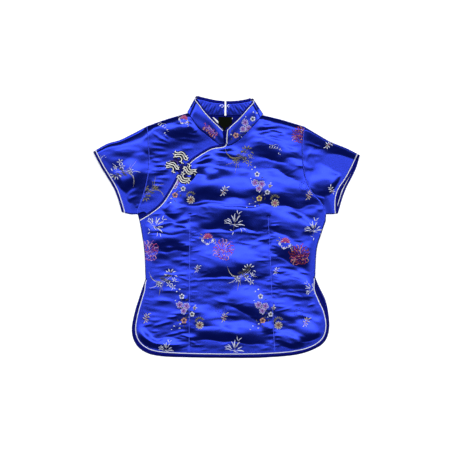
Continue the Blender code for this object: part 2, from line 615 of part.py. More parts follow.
def add_sleeve(group, side):
    if side < 0:
        name, armhole, top, under = "sleeve_left", ARMHOLE_LEFT, SLEEVE_TOP_LEFT, UNDERARM_LEFT
        hems = (SLEEVE_HEM_LEFT, SLEEVE_HEM_LEFT)
    else:
        name, armhole, top, under = "sleeve_right", ARMHOLE_RIGHT, SLEEVE_TOP_RIGHT, UNDERARM_RIGHT
        hems = (SLEEVE_HEM_RIGHT, SLEEVE_BACK_HEM_RIGHT)
    start = offset(smooth(armhole), -side * SEAM / 2)
    top_edge = smooth(top)
    under_edge = smooth(under)
    top_edge[0], under_edge[0] = start[-1], start[0]

    def sleeve_front(points):
        return sleeve_height(points, start)

    def hem_at(hem, distance):
        line = offset(smooth(hem), side * distance)
        line[0] = shortened(under_edge, distance)[-1] if distance else under_edge[-1]
        line[-1] = shortened(top_edge, distance)[-1] if distance else top_edge[-1]
        return line

    walls = []
    for hem in hems:
        end = hem_at(hem, PANEL_OFFSET)
        walls.append(coons(resample(start, SLEEVE_FINE), resample(end, SLEEVE_FINE),
                           resample(shortened(under_edge, PANEL_OFFSET), SLEEVE_ALONG),
                           resample(shortened(top_edge, PANEL_OFFSET), SLEEVE_ALONG)))
    rings = [flat_ring(front, back, sleeve_front, 0.0, CLOTH_FOLD_POINTS)
             for front, back in zip(*walls)]
    for fold in (SLEEVE_AROUND + 1, -1):
        away = rings[1][fold] - rings[0][fold]
        rings[0][fold] += away * FOLD_NOTCH / np.linalg.norm(away)
    add_ring_sheet(group, name, np.array(rings), SATIN, side)

    def piping_middle(points):
        return sleeve_front(points) - CLOTH + PIPING_RADIUS

    front, back = (hem_at(hem, PIPING_OFFSET) for hem in hems)
    ring = flat_ring(front, back, piping_middle, PIPING_RADIUS, TRIM_FOLD_POINTS)
    add_tube(group, name + "_piping", ring, PIPING_RADIUS, PIPING, closed=True)
    edges = []
    for distance in (BINDING_WIDTH - SEAM, 0.0):
        front, back = (hem_at(hem, distance) for hem in hems)
        edges.append(flat_ring(front, back, sleeve_front, 0.0, TRIM_FOLD_POINTS))
    add_ring_sheet(group, name + "_binding", np.array(edges), BINDING, side)


def add_ring_sheet(group, name, rings, look, side):
    """A wall through closed rings; the side says which way round they run."""
    closed = np.concatenate([rings, rings[:, :1]], axis=1)
    if side > 0:
        closed = closed[:, ::-1]
    piece = add_sheet(group, name, closed, look)
    shape = bmesh.new()
    shape.from_mesh(piece.data)
    bmesh.ops.remove_doubles(shape, verts=shape.verts, dist=MERGE_DISTANCE)
    shape.to_mesh(piece.data)
    shape.free()
    return piece


def folded(back, front, tip, front_z):
    """A line over both layers of a flat fold, from z = 0 round the fold's tip to the front layer."""
    base, lift = (back[-1] + front[0]) / 2, front_z[0] / 2
    turns = np.radians(COLLAR_FOLD_TURNS)
    turned = base + np.outer(np.cos(turns), np.array(tip) - base)
    return np.vstack([with_height(back, 0.0), np.column_stack([turned, lift + lift * np.sin(turns)]),
                      np.column_stack([front, front_z])])


def collar_lines(side):
    """The seam and the upper edge of half of the collar, both from the centre back."""
    if side < 0:
        back_seam = smooth(BACK_NECK)[::-1]
        back_seam = back_seam[back_seam[:, 0] < CENTRE_BACK - SLIT_HALF_GAP]
        front_seam, tips = smooth(NECK_LEFT), COLLAR_FOLD_LEFT
        back_top, front_top = smooth(COLLAR_BACK_TOP_LEFT), smooth(COLLAR_FRONT_TOP_LEFT)
    else:
        back_seam = smooth(BACK_NECK)
        back_seam = back_seam[back_seam[:, 0] > CENTRE_BACK + SLIT_HALF_GAP]
        front_seam, tips = smooth(NECK_RIGHT), COLLAR_FOLD_RIGHT
        back_top, front_top = smooth(COLLAR_BACK_TOP_RIGHT), smooth(COLLAR_FRONT_TOP_RIGHT)
    back_seam = shortened(offset(back_seam, side * SEAM), FOLD_INSET)
    front_seam = shortened(offset(front_seam, side * SEAM), FOLD_INSET)[::-1]
    front_seam = resample(front_seam, COLLAR_FRONT_COUNT)
    front_top = resample(front_top, COLLAR_FRONT_COUNT)
    seam_z = np.maximum(front_height(front_seam) + COLLAR_SEAM_LIFT, COLLAR_FOLD_HEIGHT)
    risen = ease(np.linspace(0.0, 2.0, COLLAR_FRONT_COUNT + 1))
    top_z = seam_z + COLLAR_RISE * (COLLAR_START_RISE + (1.0 - COLLAR_START_RISE) * risen)
    return (folded(resample(back_seam, COLLAR_BACK_COUNT), front_seam, tips[0], seam_z),
            folded(resample(back_top, COLLAR_BACK_COUNT), front_top, tips[1], top_z))


def add_collar(group, side):
    """Half of the collar: flat at the back, folded at the side of the neck, risen in front."""
    name = "collar_left" if side < 0 else "collar_right"
    seam, top = collar_lines(side)
    rise = top - seam
    rise /= np.linalg.norm(rise, axis=1)[:, None]
    middle = (seam + top) / 2
    middle[-COLLAR_FRONT_COUNT:, 2] += COLLAR_BULGE
    out = np.cross(np.gradient(top, axis=0), rise)
    out *= -side / np.linalg.norm(out, axis=1)[:, None]
    away = COLLAR_GAP + PIPING_RADIUS
    at_fold = np.zeros((len(top), 1))
    at_fold[COLLAR_BACK_COUNT:-COLLAR_FRONT_COUNT] = COLLAR_FOLD_EASE
    piping = top + rise * (away + at_fold) - out * CLOTH / 2
    inner = top + rise * 2 * (away + at_fold)
    outer = inner + rise * COLLAR_BINDING
    if side > 0:
        end = np.array(COLLAR_FRONT_END)
        drop = np.linspace(top[-1, 2], seam[-1, 2], len(end))
        end_line = np.vstack([piping[-1:, :2], end])
        piping = np.vstack([piping, np.column_stack([end, drop - CLOTH / 2])])
        inner = np.vstack([inner, np.column_stack([offset(end_line, -away)[1:], drop])])
        outer = np.vstack([outer, np.column_stack([offset(end_line, -away - COLLAR_BINDING)[1:], drop])])
    piping[:, 2] = np.maximum(piping[:, 2], PIPING_RADIUS)
    bands = (np.stack([seam, middle, top]), np.stack([inner, outer]))
    if side > 0:
        bands = tuple(band[:, ::-1] for band in bands)
    add_sheet(group, name, bands[0], SATIN)
    add_sheet(group, name + "_binding", bands[1], BINDING)
    add_tube(group, name + "_piping", piping, PIPING_RADIUS, PIPING)


def add_hems(group):
    """Side by side beside each hem: the binding on the outside, then the piping."""
    for name, points, radius, face in (("hem_front", FRONT_HEM, PIPING_RADIUS, EDGE_HEIGHT),
                                       ("hem_back", BACK_HEM, BACK_PIPING_RADIUS, CLOTH)):
        outer = smooth(points, HEM_COUNT)
        inner = hem_line(points, HEM_COUNT, 0.0)
        add_strip(group, name + "_binding", with_height(inner, face), with_height(outer, face), BINDING)
        piping = with_height(hem_line(points, HEM_COUNT, SEAM + radius), face - CLOTH + radius)
        add_tube(group, name + "_piping", piping, radius, PIPING)


def add_placket(group):
    line = smooth(PLACKET, PLACKET_COUNT)
    height = front_height(line)
    middle = np.column_stack([line, height - CLOTH + PIPING_RADIUS])
    add_tube(group, "placket_piping", middle, PIPING_RADIUS, PIPING)
    bound = line[line[:, 0] < PLACKET_BINDING_START]
    inner = offset(bound, -(PIPING_RADIUS + SEAM))
    outer = offset(bound, -(PIPING_RADIUS + SEAM + BINDING_WIDTH))
    height = front_height(bound)
    add_strip(group, "placket_binding", with_height(inner, height), with_height(outer, height), BINDING)


def surface_finder(pieces):
    """A function that gives the height of the highest of some pieces near a place."""
    bpy.context.view_layer.update()
    graph = bpy.context.evaluated_depsgraph_get()
    trees = [BVHTree.FromObject(piece, graph) for piece in pieces]
    down = Vector((0.0, 0.0, -1.0))

    def highest(x, y, reach):
        found = 0.0
        for away, turn in RAY_PLACES:
            start = Vector((x + reach * away * math.cos(turn), y + reach * away * math.sin(turn), RAY_START))
            for tree in trees:
                hit = tree.ray_cast(start, down)[0]
                if hit is not None:
                    found = max(found, hit.z)
        return found

    return highest


def laid_cord(line, radius, highest):
    """A cord's middle line, just clear of the cloth under it."""
    heights = [highest(x, y, radius + CORD_REACH) + FROG_LIFT + radius for x, y in line]
    return np.column_stack([line, heights])


def add_frog(group, highest):
    for name, x, y, turn, size in LOBES:
        line = turned(smooth(LOBE_CORD, LOBE_COUNT) * size, turn, (x, y))
        add_tube(group, name, laid_cord(line, LOBE_RADIUS, highest), LOBE_RADIUS, CORD)
    around = KNOT_RADIUS + SEAM + LOOP_RADIUS
    turns = np.radians(np.linspace(LOOP_OPENING, 360 - LOOP_OPENING, LOOP_STATIONS))
    ring = np.column_stack([np.cos(turns), np.sin(turns)]) * around
    loop = np.vstack([(LOOP_TAIL, LOOP_SPREAD), ring, (LOOP_TAIL, -LOOP_SPREAD)])
    line = turned(resample(loop, LOOP_COUNT), LOOP_TURN, KNOT_PLACE)
    add_tube(group, "frog_loop", laid_cord(line, LOOP_RADIUS, highest), LOOP_RADIUS, NAVY)
    bpy.ops.mesh.primitive_uv_sphere_add(segments=KNOT_SEGMENTS, ring_count=KNOT_RINGS, radius=KNOT_RADIUS)
    knot = bpy.context.object
    knot.name = "frog_knot"
    knot.data.transform(Matrix.Diagonal((1.0, 1.0, KNOT_FLATNESS, 1.0)))
    knot.data.materials.append(material(NAVY))
    knot.data.shade_smooth()
    for old in knot.users_collection:
        old.objects.unlink(knot)
    group.objects.link(knot)
    base = highest(*KNOT_PLACE, KNOT_RADIUS)
    knot.location = (*KNOT_PLACE, base + FROG_LIFT + KNOT_RADIUS * KNOT_FLATNESS)


def turned(points, degrees, middle):
    """Points about the origin, turned and then moved to a middle."""
    angle = math.radians(degrees)
    turn = np.array([(math.cos(angle), -math.sin(angle)), (math.sin(angle), math.cos(angle))])
    return points @ turn.T + np.array(middle)


def add_tape(group, name, centre, size, degrees, base, thickness, look):
    corners = np.array([(-1, -1), (1, -1), (1, 1), (-1, 1)]) * np.array(size) / 2
    add_plate(group, name, turned(corners, degrees, centre), base, thickness, look)


def add_neck_fittings(group):
    for name, wire in (("hook", HOOK_WIRE), ("eye", EYE_WIRE)):
        line = with_height(smooth(wire, WIRE_COUNT), CLOTH + SEAM + WIRE_RADIUS)
        add_tube(group, name, line, WIRE_RADIUS, METAL)
    tag_base = CLOTH + SEAM
    label_base = tag_base + TAG_THICKNESS + SEAM
    add_tape(group, "size_tag", TAG_CENTRE, TAG_SIZE, TAG_TURN, tag_base, TAG_THICKNESS, WHITE)
    add_tape(group, "neck_label", LABEL_CENTRE, LABEL_SIZE, 0, label_base, LABEL_THICKNESS, BLACK)


def main():
    clear_scene()
    group = part_collection()
    front = add_front(group)
    underlap = add_underlap(group)
    add_backs(group)
    for side in (-1, 1):
        add_sleeve(group, side)
        add_collar(group, side)
    add_hems(group)
    add_placket(group)
    covered = [front, underlap, bpy.data.objects["placket_binding"], bpy.data.objects["placket_piping"]]
    add_frog(group, surface_finder(covered))
    add_neck_fittings(group)


main()
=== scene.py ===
"""The looks of a short-sleeved satin brocade blouse that lies flat with its front up.

The shapes follow the tables of the part's own source: metres, +Y towards the collar, +Z up. Each
cloth solid is replaced by a thinner and finer shell of the same form. The brocade's flowers are
raised floats of coloured silk that lie on the shells.
"""
import math
from collections import namedtuple

import bmesh
import bpy
import numpy as np
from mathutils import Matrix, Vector
from mathutils.bvhtree import BVHTree


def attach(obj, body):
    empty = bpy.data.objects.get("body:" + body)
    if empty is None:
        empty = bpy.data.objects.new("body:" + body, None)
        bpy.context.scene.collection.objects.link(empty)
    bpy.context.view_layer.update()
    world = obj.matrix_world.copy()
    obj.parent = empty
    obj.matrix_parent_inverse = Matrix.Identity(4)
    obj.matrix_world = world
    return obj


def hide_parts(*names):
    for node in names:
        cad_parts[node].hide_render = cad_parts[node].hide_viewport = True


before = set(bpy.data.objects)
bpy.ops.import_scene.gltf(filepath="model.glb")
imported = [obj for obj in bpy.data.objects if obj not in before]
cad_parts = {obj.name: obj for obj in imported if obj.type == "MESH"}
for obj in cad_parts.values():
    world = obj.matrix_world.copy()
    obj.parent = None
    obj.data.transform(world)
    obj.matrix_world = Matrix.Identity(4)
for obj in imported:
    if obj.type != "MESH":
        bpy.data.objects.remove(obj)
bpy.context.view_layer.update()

# Camera and the picture: the world point at the picture's middle and the width that it shows
VIEW_CENTRE = (0.0082, -0.0070, 0.0040)
VIEW_WIDTH = 1.081
CAMERA_HEIGHT = 16.0
SENSOR_WIDTH = 36.0

# Cloth, seams and trim, as in the solids
CLOTH = 0.0012
SEAM = 0.0003
PIPING_RADIUS = 0.0010
BACK_PIPING_RADIUS = 0.0006
BINDING_WIDTH = 0.0052
PIPING_OFFSET = BINDING_WIDTH + SEAM + PIPING_RADIUS
SLIT_START_SHARE = 0.15
SLIT_TAPER = 0.030

# Heights of the upper face of the front and the sleeves, as in the solids
EDGE_HEIGHT = CLOTH + SEAM + CLOTH
OVERLAP_HEIGHT = EDGE_HEIGHT + SEAM + CLOTH
CHEST_HEIGHT = 0.0062
SLEEVE_FOLD_HEIGHT = 0.0042

# The widths in which those heights are reached, from the edges, the placket and the armholes. From a
# hem the cloth rises more slowly, by the share that is given
FLAT_MARGIN = 0.008
EDGE_RISE_WIDTH = 0.045
CHEST_MARGIN = 0.070
HEM_CALM = 0.45
PLACKET_RISE_WIDTH = 0.045
UNDERLAP_RISE_WIDTH = 0.100
UNDERLAP_LOOSE_WIDTH = 0.030
SLEEVE_RISE_WIDTH = 0.020
FOLD_FADE_EDGE = 0.018
FOLD_FADE_SEAM = 0.014

# How round a fold is over its crest, in its valley and towards its ends, and the small lip past the
# valley. The small wrinkles fade where a fold is about as high as the calm height
FOLD_ROUNDNESS = 1.5
VALLEY_ROUNDNESS = 1.0
FOLD_END_ROUNDNESS = 1.1
LIP_SHARE = 0.09
LIP_NEAR = 0.0036
LIP_FAR = 0.014
CALM_HEIGHT = 0.0045

# Folded edges: how much lower they lie, how far the flat layers stop short of them and how much
# closer together a ring's points are there. A hem's binding leans outwards by a little
SHOULDER_DROP = 0.0009
FOLD_INSET = 0.0022
RING_CROWDING = 0.12
HEM_LEAN = 0.00013

# Bindings: their walls and how round they are across
BINDING_WALL = 0.6 * CLOTH
SLEEVE_BINDING_WALL = 0.8 * CLOTH
HEM_CROWN = 0.0004
PLACKET_CROWN = 0.0005
BAND_ROUNDNESS = 0.6

# The piping of the back's hem is covered by its binding, and so is the right sleeve's back piping,
# but for a short stretch in the mouth
BACK_PIPING_SHARE = 0.35
BACK_PIPING_LEAST = 0.00015
BACK_PIPING_SHOWN_Y = 0.082
BACK_PIPING_SHOWN_REACH = 0.009

# The real cloth is thinner than its solid
SILK = 0.0004
COLLAR_SILK = 0.0005
BACK_FACE = 0.0003
MERGE_DISTANCE = 0.00002

# The small rolls along darts and armholes
SEAM_ROLL_COUNT = 240
SEAM_ROLL_RADIUS = 0.0006
SEAM_ROLL_BEAT = 0.00012
SEAM_ROLL_TURN = 1.9

# Brocade
MM = 0.001
STITCH_STEP = 0.0016
STITCH_END = 0.12
STITCH_ROUNDNESS = 0.6
STITCH_CROWN = 0.00022
STITCH_LIFT = 0.00012
STITCH_LEVEL = 0.00014
STITCH_WALL = 0.00010

# The sides as they are seen from above: each is the sign of its x
LEFT, RIGHT = -1, 1
SIDE_NAMES = {LEFT: "left", RIGHT: "right"}

# Outlines of the body
SIDE_SEAM = {
    LEFT: [(-0.2040, 0.0120), (-0.1990, -0.0160), (-0.1930, -0.0600), (-0.1905, -0.1200)],
    RIGHT: [(0.2330, 0.0140), (0.2220, -0.0180), (0.2120, -0.0540), (0.2083, -0.1160)]}
FRONT_HEM = [
    (-0.1905, -0.1240), (-0.2030, -0.1620), (-0.2150, -0.2050), (-0.2200, -0.2400), (-0.2130, -0.2680),
    (-0.1930, -0.2880), (-0.1600, -0.2990), (-0.0900, -0.3035), (0.0100, -0.3050), (0.0950, -0.3035),
    (0.1600, -0.2980), (0.2030, -0.2860), (0.2300, -0.2660), (0.2400, -0.2360), (0.2350, -0.2000),
    (0.2220, -0.1700), (0.2120, -0.1450), (0.2080, -0.1200)]
BACK_HEM = [
    (-0.1905, -0.1220), (-0.2040, -0.1620), (-0.2170, -0.2050), (-0.2228, -0.2430), (-0.2150, -0.2720),
    (-0.1950, -0.2920), (-0.1600, -0.3030), (-0.0900, -0.3065), (0.0300, -0.3080), (0.0950, -0.3065),
    (0.1650, -0.3000), (0.2100, -0.2850), (0.2330, -0.2660), (0.2415, -0.2360), (0.2390, -0.2000),
    (0.2320, -0.1700), (0.2190, -0.1430), (0.2085, -0.1180)]
HEM_CORNER = {
    LEFT: (-0.1900, -0.2800),
    RIGHT: (0.2100, -0.2740)}
ARMHOLE = {
    LEFT: [
        (-0.2090, 0.0300), (-0.2070, 0.0450), (-0.1980, 0.0700), (-0.1870, 0.1100), (-0.1820, 0.1500),
        (-0.1830, 0.1900), (-0.1870, 0.2370)],
    RIGHT: [
        (0.2340, 0.0300), (0.2230, 0.0570), (0.2040, 0.0780), (0.1880, 0.1080), (0.1810, 0.1450),
        (0.1790, 0.1900), (0.1830, 0.2360)]}
SHOULDER = {
    LEFT: [(-0.1870, 0.2370), (-0.1420, 0.2530), (-0.0910, 0.2680)],
    RIGHT: [(0.1830, 0.2360), (0.1300, 0.2520), (0.0850, 0.2630)]}
NECK = {
    LEFT: [
        (-0.0160, 0.1930), (-0.0300, 0.2040), (-0.0470, 0.2180), (-0.0660, 0.2340), (-0.0910, 0.2680)],
    RIGHT: [
        (0.0018, 0.1905), (0.0150, 0.1950), (0.0300, 0.2040), (0.0480, 0.2220), (0.0660, 0.2410),
        (0.0850, 0.2630)]}
BACK_NECK = [(-0.0910, 0.2680), (-0.0600, 0.2650), (-0.0300, 0.2625), (0.0300, 0.2620), (0.0850, 0.2630)]
PLACKET = [
    (0.0005, 0.1945), (-0.0040, 0.1890), (-0.0120, 0.1868), (-0.0340, 0.1830), (-0.0600, 0.1690),
    (-0.0850, 0.1500), (-0.1100, 0.1180), (-0.1280, 0.0870), (-0.1500, 0.0540), (-0.1750, 0.0330),
    (-0.2030, 0.0155)]
UNDERLAP_EDGE = [
    (-0.2080, 0.0285), (-0.1930, 0.0330), (-0.1780, 0.0230), (-0.1500, 0.0280), (-0.1180, 0.0620),
    (-0.0900, 0.1020), (-0.0600, 0.1360), (-0.0140, 0.1650)]
CENTRE_BACK = -0.0026
SLIT_HALF_GAP = 0.0020

# Outlines of the sleeves, from the underarm to the shoulder fold
SLEEVE_TOP = {
    LEFT: [
        (-0.1870, 0.2370), (-0.2170, 0.2210), (-0.2500, 0.2050), (-0.2800, 0.1960), (-0.3135, 0.1770)],
    RIGHT: [
        (0.1830, 0.2360), (0.2150, 0.2170), (0.2450, 0.2000), (0.2800, 0.1860), (0.3135, 0.1690)]}
UNDERARM = {
    LEFT: [(-0.2090, 0.0300), (-0.2250, 0.0300), (-0.2460, 0.0350)],
    RIGHT: [(0.2340, 0.0300), (0.2480, 0.0300), (0.2620, 0.0320)]}
SLEEVE_HEM = {
    LEFT: [
        (-0.2460, 0.0350), (-0.2530, 0.0590), (-0.2630, 0.0870), (-0.2790, 0.1150), (-0.2960, 0.1430),
        (-0.3135, 0.1770)],
    RIGHT: [
        (0.2620, 0.0320), (0.2610, 0.0510), (0.2625, 0.0700), (0.2690, 0.0880), (0.2850, 0.1120),
        (0.2990, 0.1380), (0.3135, 0.1690)]}
SLEEVE_BACK_HEM = [
    (0.2620, 0.0320), (0.2720, 0.0670), (0.2820, 0.0930), (0.2930, 0.1140), (0.3050, 0.1400),
    (0.3135, 0.1690)]

# The large folds of the solids: the crest's centre, its turn from +X, half its length, the widths
# of the slope above and the slope below it, its height and how far its ends hang below its middle
Fold = namedtuple("Fold", "x y turn reach above below height hang")
FOLDS = [
    (0.060, 0.0875, -1, 0.178, 0.050, 0.038, 0.0078, 0.000),
    (-0.046, 0.112, -2, 0.070, 0.034, 0.052, 0.0062, 0.000),
    (0.022, 0.039, -3, 0.108, 0.034, 0.046, 0.0070, 0.004),
    (0.018, 0.050, 0, 0.034, 0.020, 0.030, 0.0022, 0.010),
    (-0.138, -0.026, 3, 0.058, 0.034, 0.032, 0.0050, 0.000),
    (-0.140, -0.004, -2, 0.062, 0.014, 0.012, 0.0026, 0.000),
    (0.016, -0.083, 1, 0.100, 0.048, 0.034, 0.0052, 0.002),
    (0.160, -0.052, -28, 0.060, 0.045, 0.032, 0.0052, 0.000),
    (0.154, 0.010, -26, 0.054, 0.032, 0.036, 0.0062, 0.000),
    (0.056, -0.182, -25, 0.056, 0.040, 0.025, 0.0046, 0.000),
    (0.002, -0.247, -4, 0.098, 0.028, 0.022, 0.0052, 0.002),
    (-0.046, -0.214, -8, 0.046, 0.030, 0.020, 0.0030, 0.000),
    (0.097, -0.235, 0, 0.017, 0.012, 0.014, 0.0026, 0.000),
    (0.192, -0.246, 8, 0.036, 0.030, 0.020, 0.0042, 0.000),
    (0.146, -0.264, -16, 0.040, 0.022, 0.022, 0.0036, 0.000),
    (0.132, -0.190, -14, 0.034, 0.022, 0.026, 0.0017, 0.000),
    (0.160, -0.213, -8, 0.024, 0.014, 0.016, 0.0012, 0.000),
    (0.140, -0.127, -8, 0.050, 0.030, 0.024, 0.0018, 0.000),
    (0.186, -0.138, -34, 0.036, 0.024, 0.022, 0.0026, 0.000),
    (-0.194, -0.263, -48, 0.038, 0.022, 0.026, 0.0058, 0.000),
    (-0.142, -0.279, -8, 0.040, 0.018, 0.018, 0.0036, 0.000),
    (0.108, 0.193, -13, 0.064, 0.030, 0.034, 0.0054, 0.004),
    (0.152, 0.174, -3, 0.034, 0.020, 0.016, 0.0026, 0.000),
    (0.150, 0.143, -26, 0.042, 0.030, 0.024, 0.0042, 0.000),
    (-0.094, 0.236, -15, 0.058, 0.018, 0.033, 0.0054, 0.000),
    (-0.150, 0.100, 6, 0.034, 0.022, 0.020, 0.0018, 0.000),
    (-0.134, 0.046, -36, 0.036, 0.022, 0.018, 0.0032, 0.000),
    (-0.058, 0.162, -4, 0.026, 0.014, 0.014, 0.0022, 0.000),
    (0.000, 0.180, -8, 0.040, 0.012, 0.018, 0.0026, 0.000),
    (0.105, 0.240, -4, 0.044, 0.010, 0.010, 0.0022, 0.000),
    (0.110, 0.218, -6, 0.040, 0.010, 0.010, 0.0020, 0.000),
    (-0.120, -0.130, 4, 0.060, 0.040, 0.040, 0.0010, 0.000),
    (-0.222, 0.066, 34, 0.030, 0.016, 0.022, 0.0040, 0.000),
    (-0.215, 0.118, 46, 0.056, 0.044, 0.046, 0.0074, 0.000),
    (0.246, 0.104, -20, 0.050, 0.040, 0.036, 0.0058, 0.000),
]

# The roll along the shoulders and the sleeves' upper folds: at each x its height, its width and
# the width in which it levels out again
ROLL = [
    (-0.310, 0.0040, 0.008, 0.140),
    (-0.240, 0.0060, 0.018, 0.140),
    (-0.200, 0.0085, 0.030, 0.120),
    (-0.170, 0.0056, 0.014, 0.080),
    (0.160, 0.0052, 0.014, 0.080),
    (0.195, 0.0062, 0.004, 0.042),
    (0.260, 0.0056, 0.003, 0.030),
    (0.310, 0.0038, 0.003, 0.024),
]

# Fine wrinkles: a ridge's two ends, how far its middle is pushed to its left, its width, its height
Wrinkle = namedtuple("Wrinkle", "x0 y0 x1 y1 bow width height")
WRINKLES = [
    (-0.182, 0.200, -0.128, 0.192, 0.001, 0.0028, 0.0008),
    (-0.182, 0.230, -0.126, 0.195, -0.003, 0.0030, 0.0009),
    (-0.150, 0.217, -0.134, 0.207, 0.001, 0.0024, 0.0006),
    (-0.138, 0.208, -0.062, 0.200, 0.003, 0.0026, 0.0007),
    (-0.184, 0.185, -0.140, 0.183, 0.001, 0.0026, 0.0006),
    (-0.184, 0.174, -0.128, 0.172, -0.001, 0.0028, 0.0007),
    (-0.184, 0.165, -0.136, 0.168, 0.001, 0.0024, 0.0006),
    (-0.184, 0.157, -0.146, 0.152, 0.001, 0.0030, 0.0007),
    (-0.184, 0.133, -0.138, 0.133, 0.001, 0.0026, 0.0006),
    (-0.184, 0.126, -0.130, 0.123, 0.002, 0.0026, 0.0006),
    (-0.180, 0.106, -0.140, 0.104, 0.001, 0.0028, 0.0007),
    (-0.176, 0.098, -0.146, 0.093, 0.001, 0.0026, 0.0006),
    (-0.176, 0.148, -0.130, 0.140, 0.001, 0.0040, 0.0009),
    (-0.172, 0.128, -0.112, 0.134, 0.004, 0.0050, 0.0011),
    (-0.170, 0.110, -0.112, 0.112, 0.003, 0.0040, 0.0008),
    (-0.090, 0.120, -0.040, 0.118, 0.004, 0.0050, 0.0011),
    (-0.070, 0.150, -0.020, 0.160, 0.006, 0.0070, 0.0012),
    (-0.010, 0.176, 0.012, 0.158, -0.004, 0.0024, 0.0006),
    (0.050, 0.222, 0.130, 0.196, 0.002, 0.0040, 0.0009),
    (0.056, 0.206, 0.120, 0.188, 0.001, 0.0030, 0.0007),
    (0.070, 0.236, 0.150, 0.210, 0.001, 0.0040, 0.0009),
    (0.186, 0.150, 0.206, 0.186, 0.004, 0.0024, 0.0006),
    (0.182, 0.136, 0.206, 0.138, 0.001, 0.0024, 0.0006),
    (-0.190, -0.172, -0.120, -0.176, 0.002, 0.0050, 0.0008),
    (-0.180, -0.238, -0.120, -0.222, 0.003, 0.0036, 0.0008),
    (-0.160, -0.262, -0.086, -0.246, 0.003, 0.0030, 0.0008),
    (0.118, -0.150, 0.200, -0.172, 0.008, 0.0036, 0.0005),
    (0.150, -0.200, 0.230, -0.232, 0.004, 0.0040, 0.0009),
    (0.125, -0.246, 0.190, -0.286, 0.004, 0.0050, 0.0011),
    (-0.030, 0.180, 0.045, 0.163, 0.000, 0.0060, 0.0012),
    (-0.084, 0.124, -0.044, 0.118, 0.002, 0.0040, 0.0010),
    (-0.070, -0.016, 0.020, -0.014, 0.003, 0.0034, 0.0006),
    (0.040, -0.013, 0.112, -0.011, -0.003, 0.0034, 0.0007),
    (-0.068, -0.124, 0.030, -0.122, 0.002, 0.0034, 0.0006),
    (-0.166, -0.279, -0.130, -0.259, 0.004, 0.0028, 0.0008),
    (-0.136, -0.258, -0.084, -0.268, 0.003, 0.0028, 0.0008),
    (-0.088, -0.267, -0.070, -0.278, 0.001, 0.0026, 0.0007),
    (-0.150, -0.280, -0.076, -0.276, 0.002, 0.0028, 0.0007),
    (0.106, -0.160, 0.212, -0.178, 0.008, 0.0032, 0.0005),
    (0.160, -0.252, 0.198, -0.268, 0.002, 0.0028, 0.0008),
    (0.112, -0.262, 0.174, -0.290, 0.003, 0.0030, 0.0008),
    (-0.238, 0.072, -0.196, 0.094, 0.003, 0.0050, 0.0013),
    (-0.232, 0.046, -0.206, 0.050, -0.003, 0.0030, 0.0008),
    (-0.236, 0.060, -0.204, 0.074, 0.002, 0.0030, 0.0007),
]

# Darts: the seam's two ends
DARTS = [((-0.0860, 0.0300), (-0.0880, -0.2900)), ((0.0980, 0.0250), (0.1130, -0.2900))]
DART_DEPTH = 0.0010
DART_WIDTH = 0.0016
PUCKER_COUNT = 46
PUCKER_REACH = (0.010, 0.034)
PUCKER_WIDTH = (0.0014, 0.0032)
PUCKER_HEIGHT = (0.0002, 0.0007)
PUCKER_SHARES = (0.02, 0.98)
PUCKER_JITTER = 0.012
PUCKER_TILT = (-0.25, 0.15)
PUCKER_START = 0.001
PUCKER_BOW = 0.001
CHANCE_COUNT = 420
CHANCE_REACH = (0.015, 0.060)
CHANCE_WIDTH = (0.0018, 0.0050)
CHANCE_HEIGHT = (0.0001, 0.0006)
CHANCE_X = (-0.30, 0.30)
CHANCE_Y = (-0.30, 0.25)
CHANCE_TILT = (-3.0, 12.0)
CHANCE_BOW = 0.003
STEEPEST_WRINKLE = 0.24
WRINKLE_ENDS = 1.4
SEAM_DIP = 0.0003
SEAM_DIP_WIDTH = 0.0030
SEAM_STEPS = 40
WRINKLE_SEED = 7

# Collar
COLLAR_BACK_TOP = {
    LEFT: [(-0.0046, 0.2895), (-0.0300, 0.2925), (-0.0540, 0.2980), (-0.0695, 0.3020)],
    RIGHT: [(-0.0006, 0.2895), (0.0250, 0.2905), (0.0450, 0.2940), (0.0575, 0.2970)]}
COLLAR_FRONT_TOP = {
    LEFT: [
        (-0.0752, 0.2975), (-0.0660, 0.2860), (-0.0525, 0.2680), (-0.0370, 0.2515), (-0.0230, 0.2380),
        (-0.0085, 0.2245)],
    RIGHT: [
        (0.0660, 0.2920), (0.0525, 0.2770), (0.0385, 0.2610), (0.0255, 0.2475), (0.0140, 0.2375),
        (0.0048, 0.2285)]}
COLLAR_FOLD = {
    LEFT: ((-0.0920, 0.2700), (-0.0755, 0.3008)),
    RIGHT: ((0.0865, 0.2650), (0.0668, 0.2955))}
COLLAR_SEAM = {
    LEFT: [(-0.0062, 0.1950), (-0.0110, 0.1928), *NECK[LEFT]],
    RIGHT: NECK[RIGHT]}
COLLAR_FRONT_END = [
    (0.0036, 0.2294), (0.0027, 0.2274), (0.0018, 0.2200), (0.0008, 0.2070), (0.0008, 0.1962)]
COLLAR_FOLD_TURNS = (-75, -50, -25, 0, 25, 50, 75)
COLLAR_FOLD_HEIGHT = 0.0048
COLLAR_FOLD_ROLL = 0.0009
COLLAR_FOLD_ROLL_WIDTH = 0.011
COLLAR_RISE = 0.0020
COLLAR_START_RISE = 0.25
COLLAR_FOLD_EASE = 0.0008
COLLAR_SEAM_LIFT = 0.0002
COLLAR_TRIM_GAP = 0.0007 + PIPING_RADIUS
COLLAR_BULGE = 0.0004
COLLAR_BINDING = 0.0032
COLLAR_PIPING_HIDDEN = 0.80
COLLAR_BACK_EDGE = 0.0003
COLLAR_WALL_REACH = 0.5
COLLAR_BINDING_START = 1.6
COLLAR_END_START = 0.6
COLLAR_BACK_RISE = 0.0016
COLLAR_WAVE = 0.00030
COLLAR_WAVE_LENGTHS = (0.0061, 0.0097, 0.0173)
COLLAR_WAVE_SLANTS = (0.9, -0.7, 1.2)
COLLAR_SETTLE_COUNT = 12
COLLAR_FRONT_WAVE = 0.00030
COLLAR_FRONT_WAVE_LENGTH = 0.023
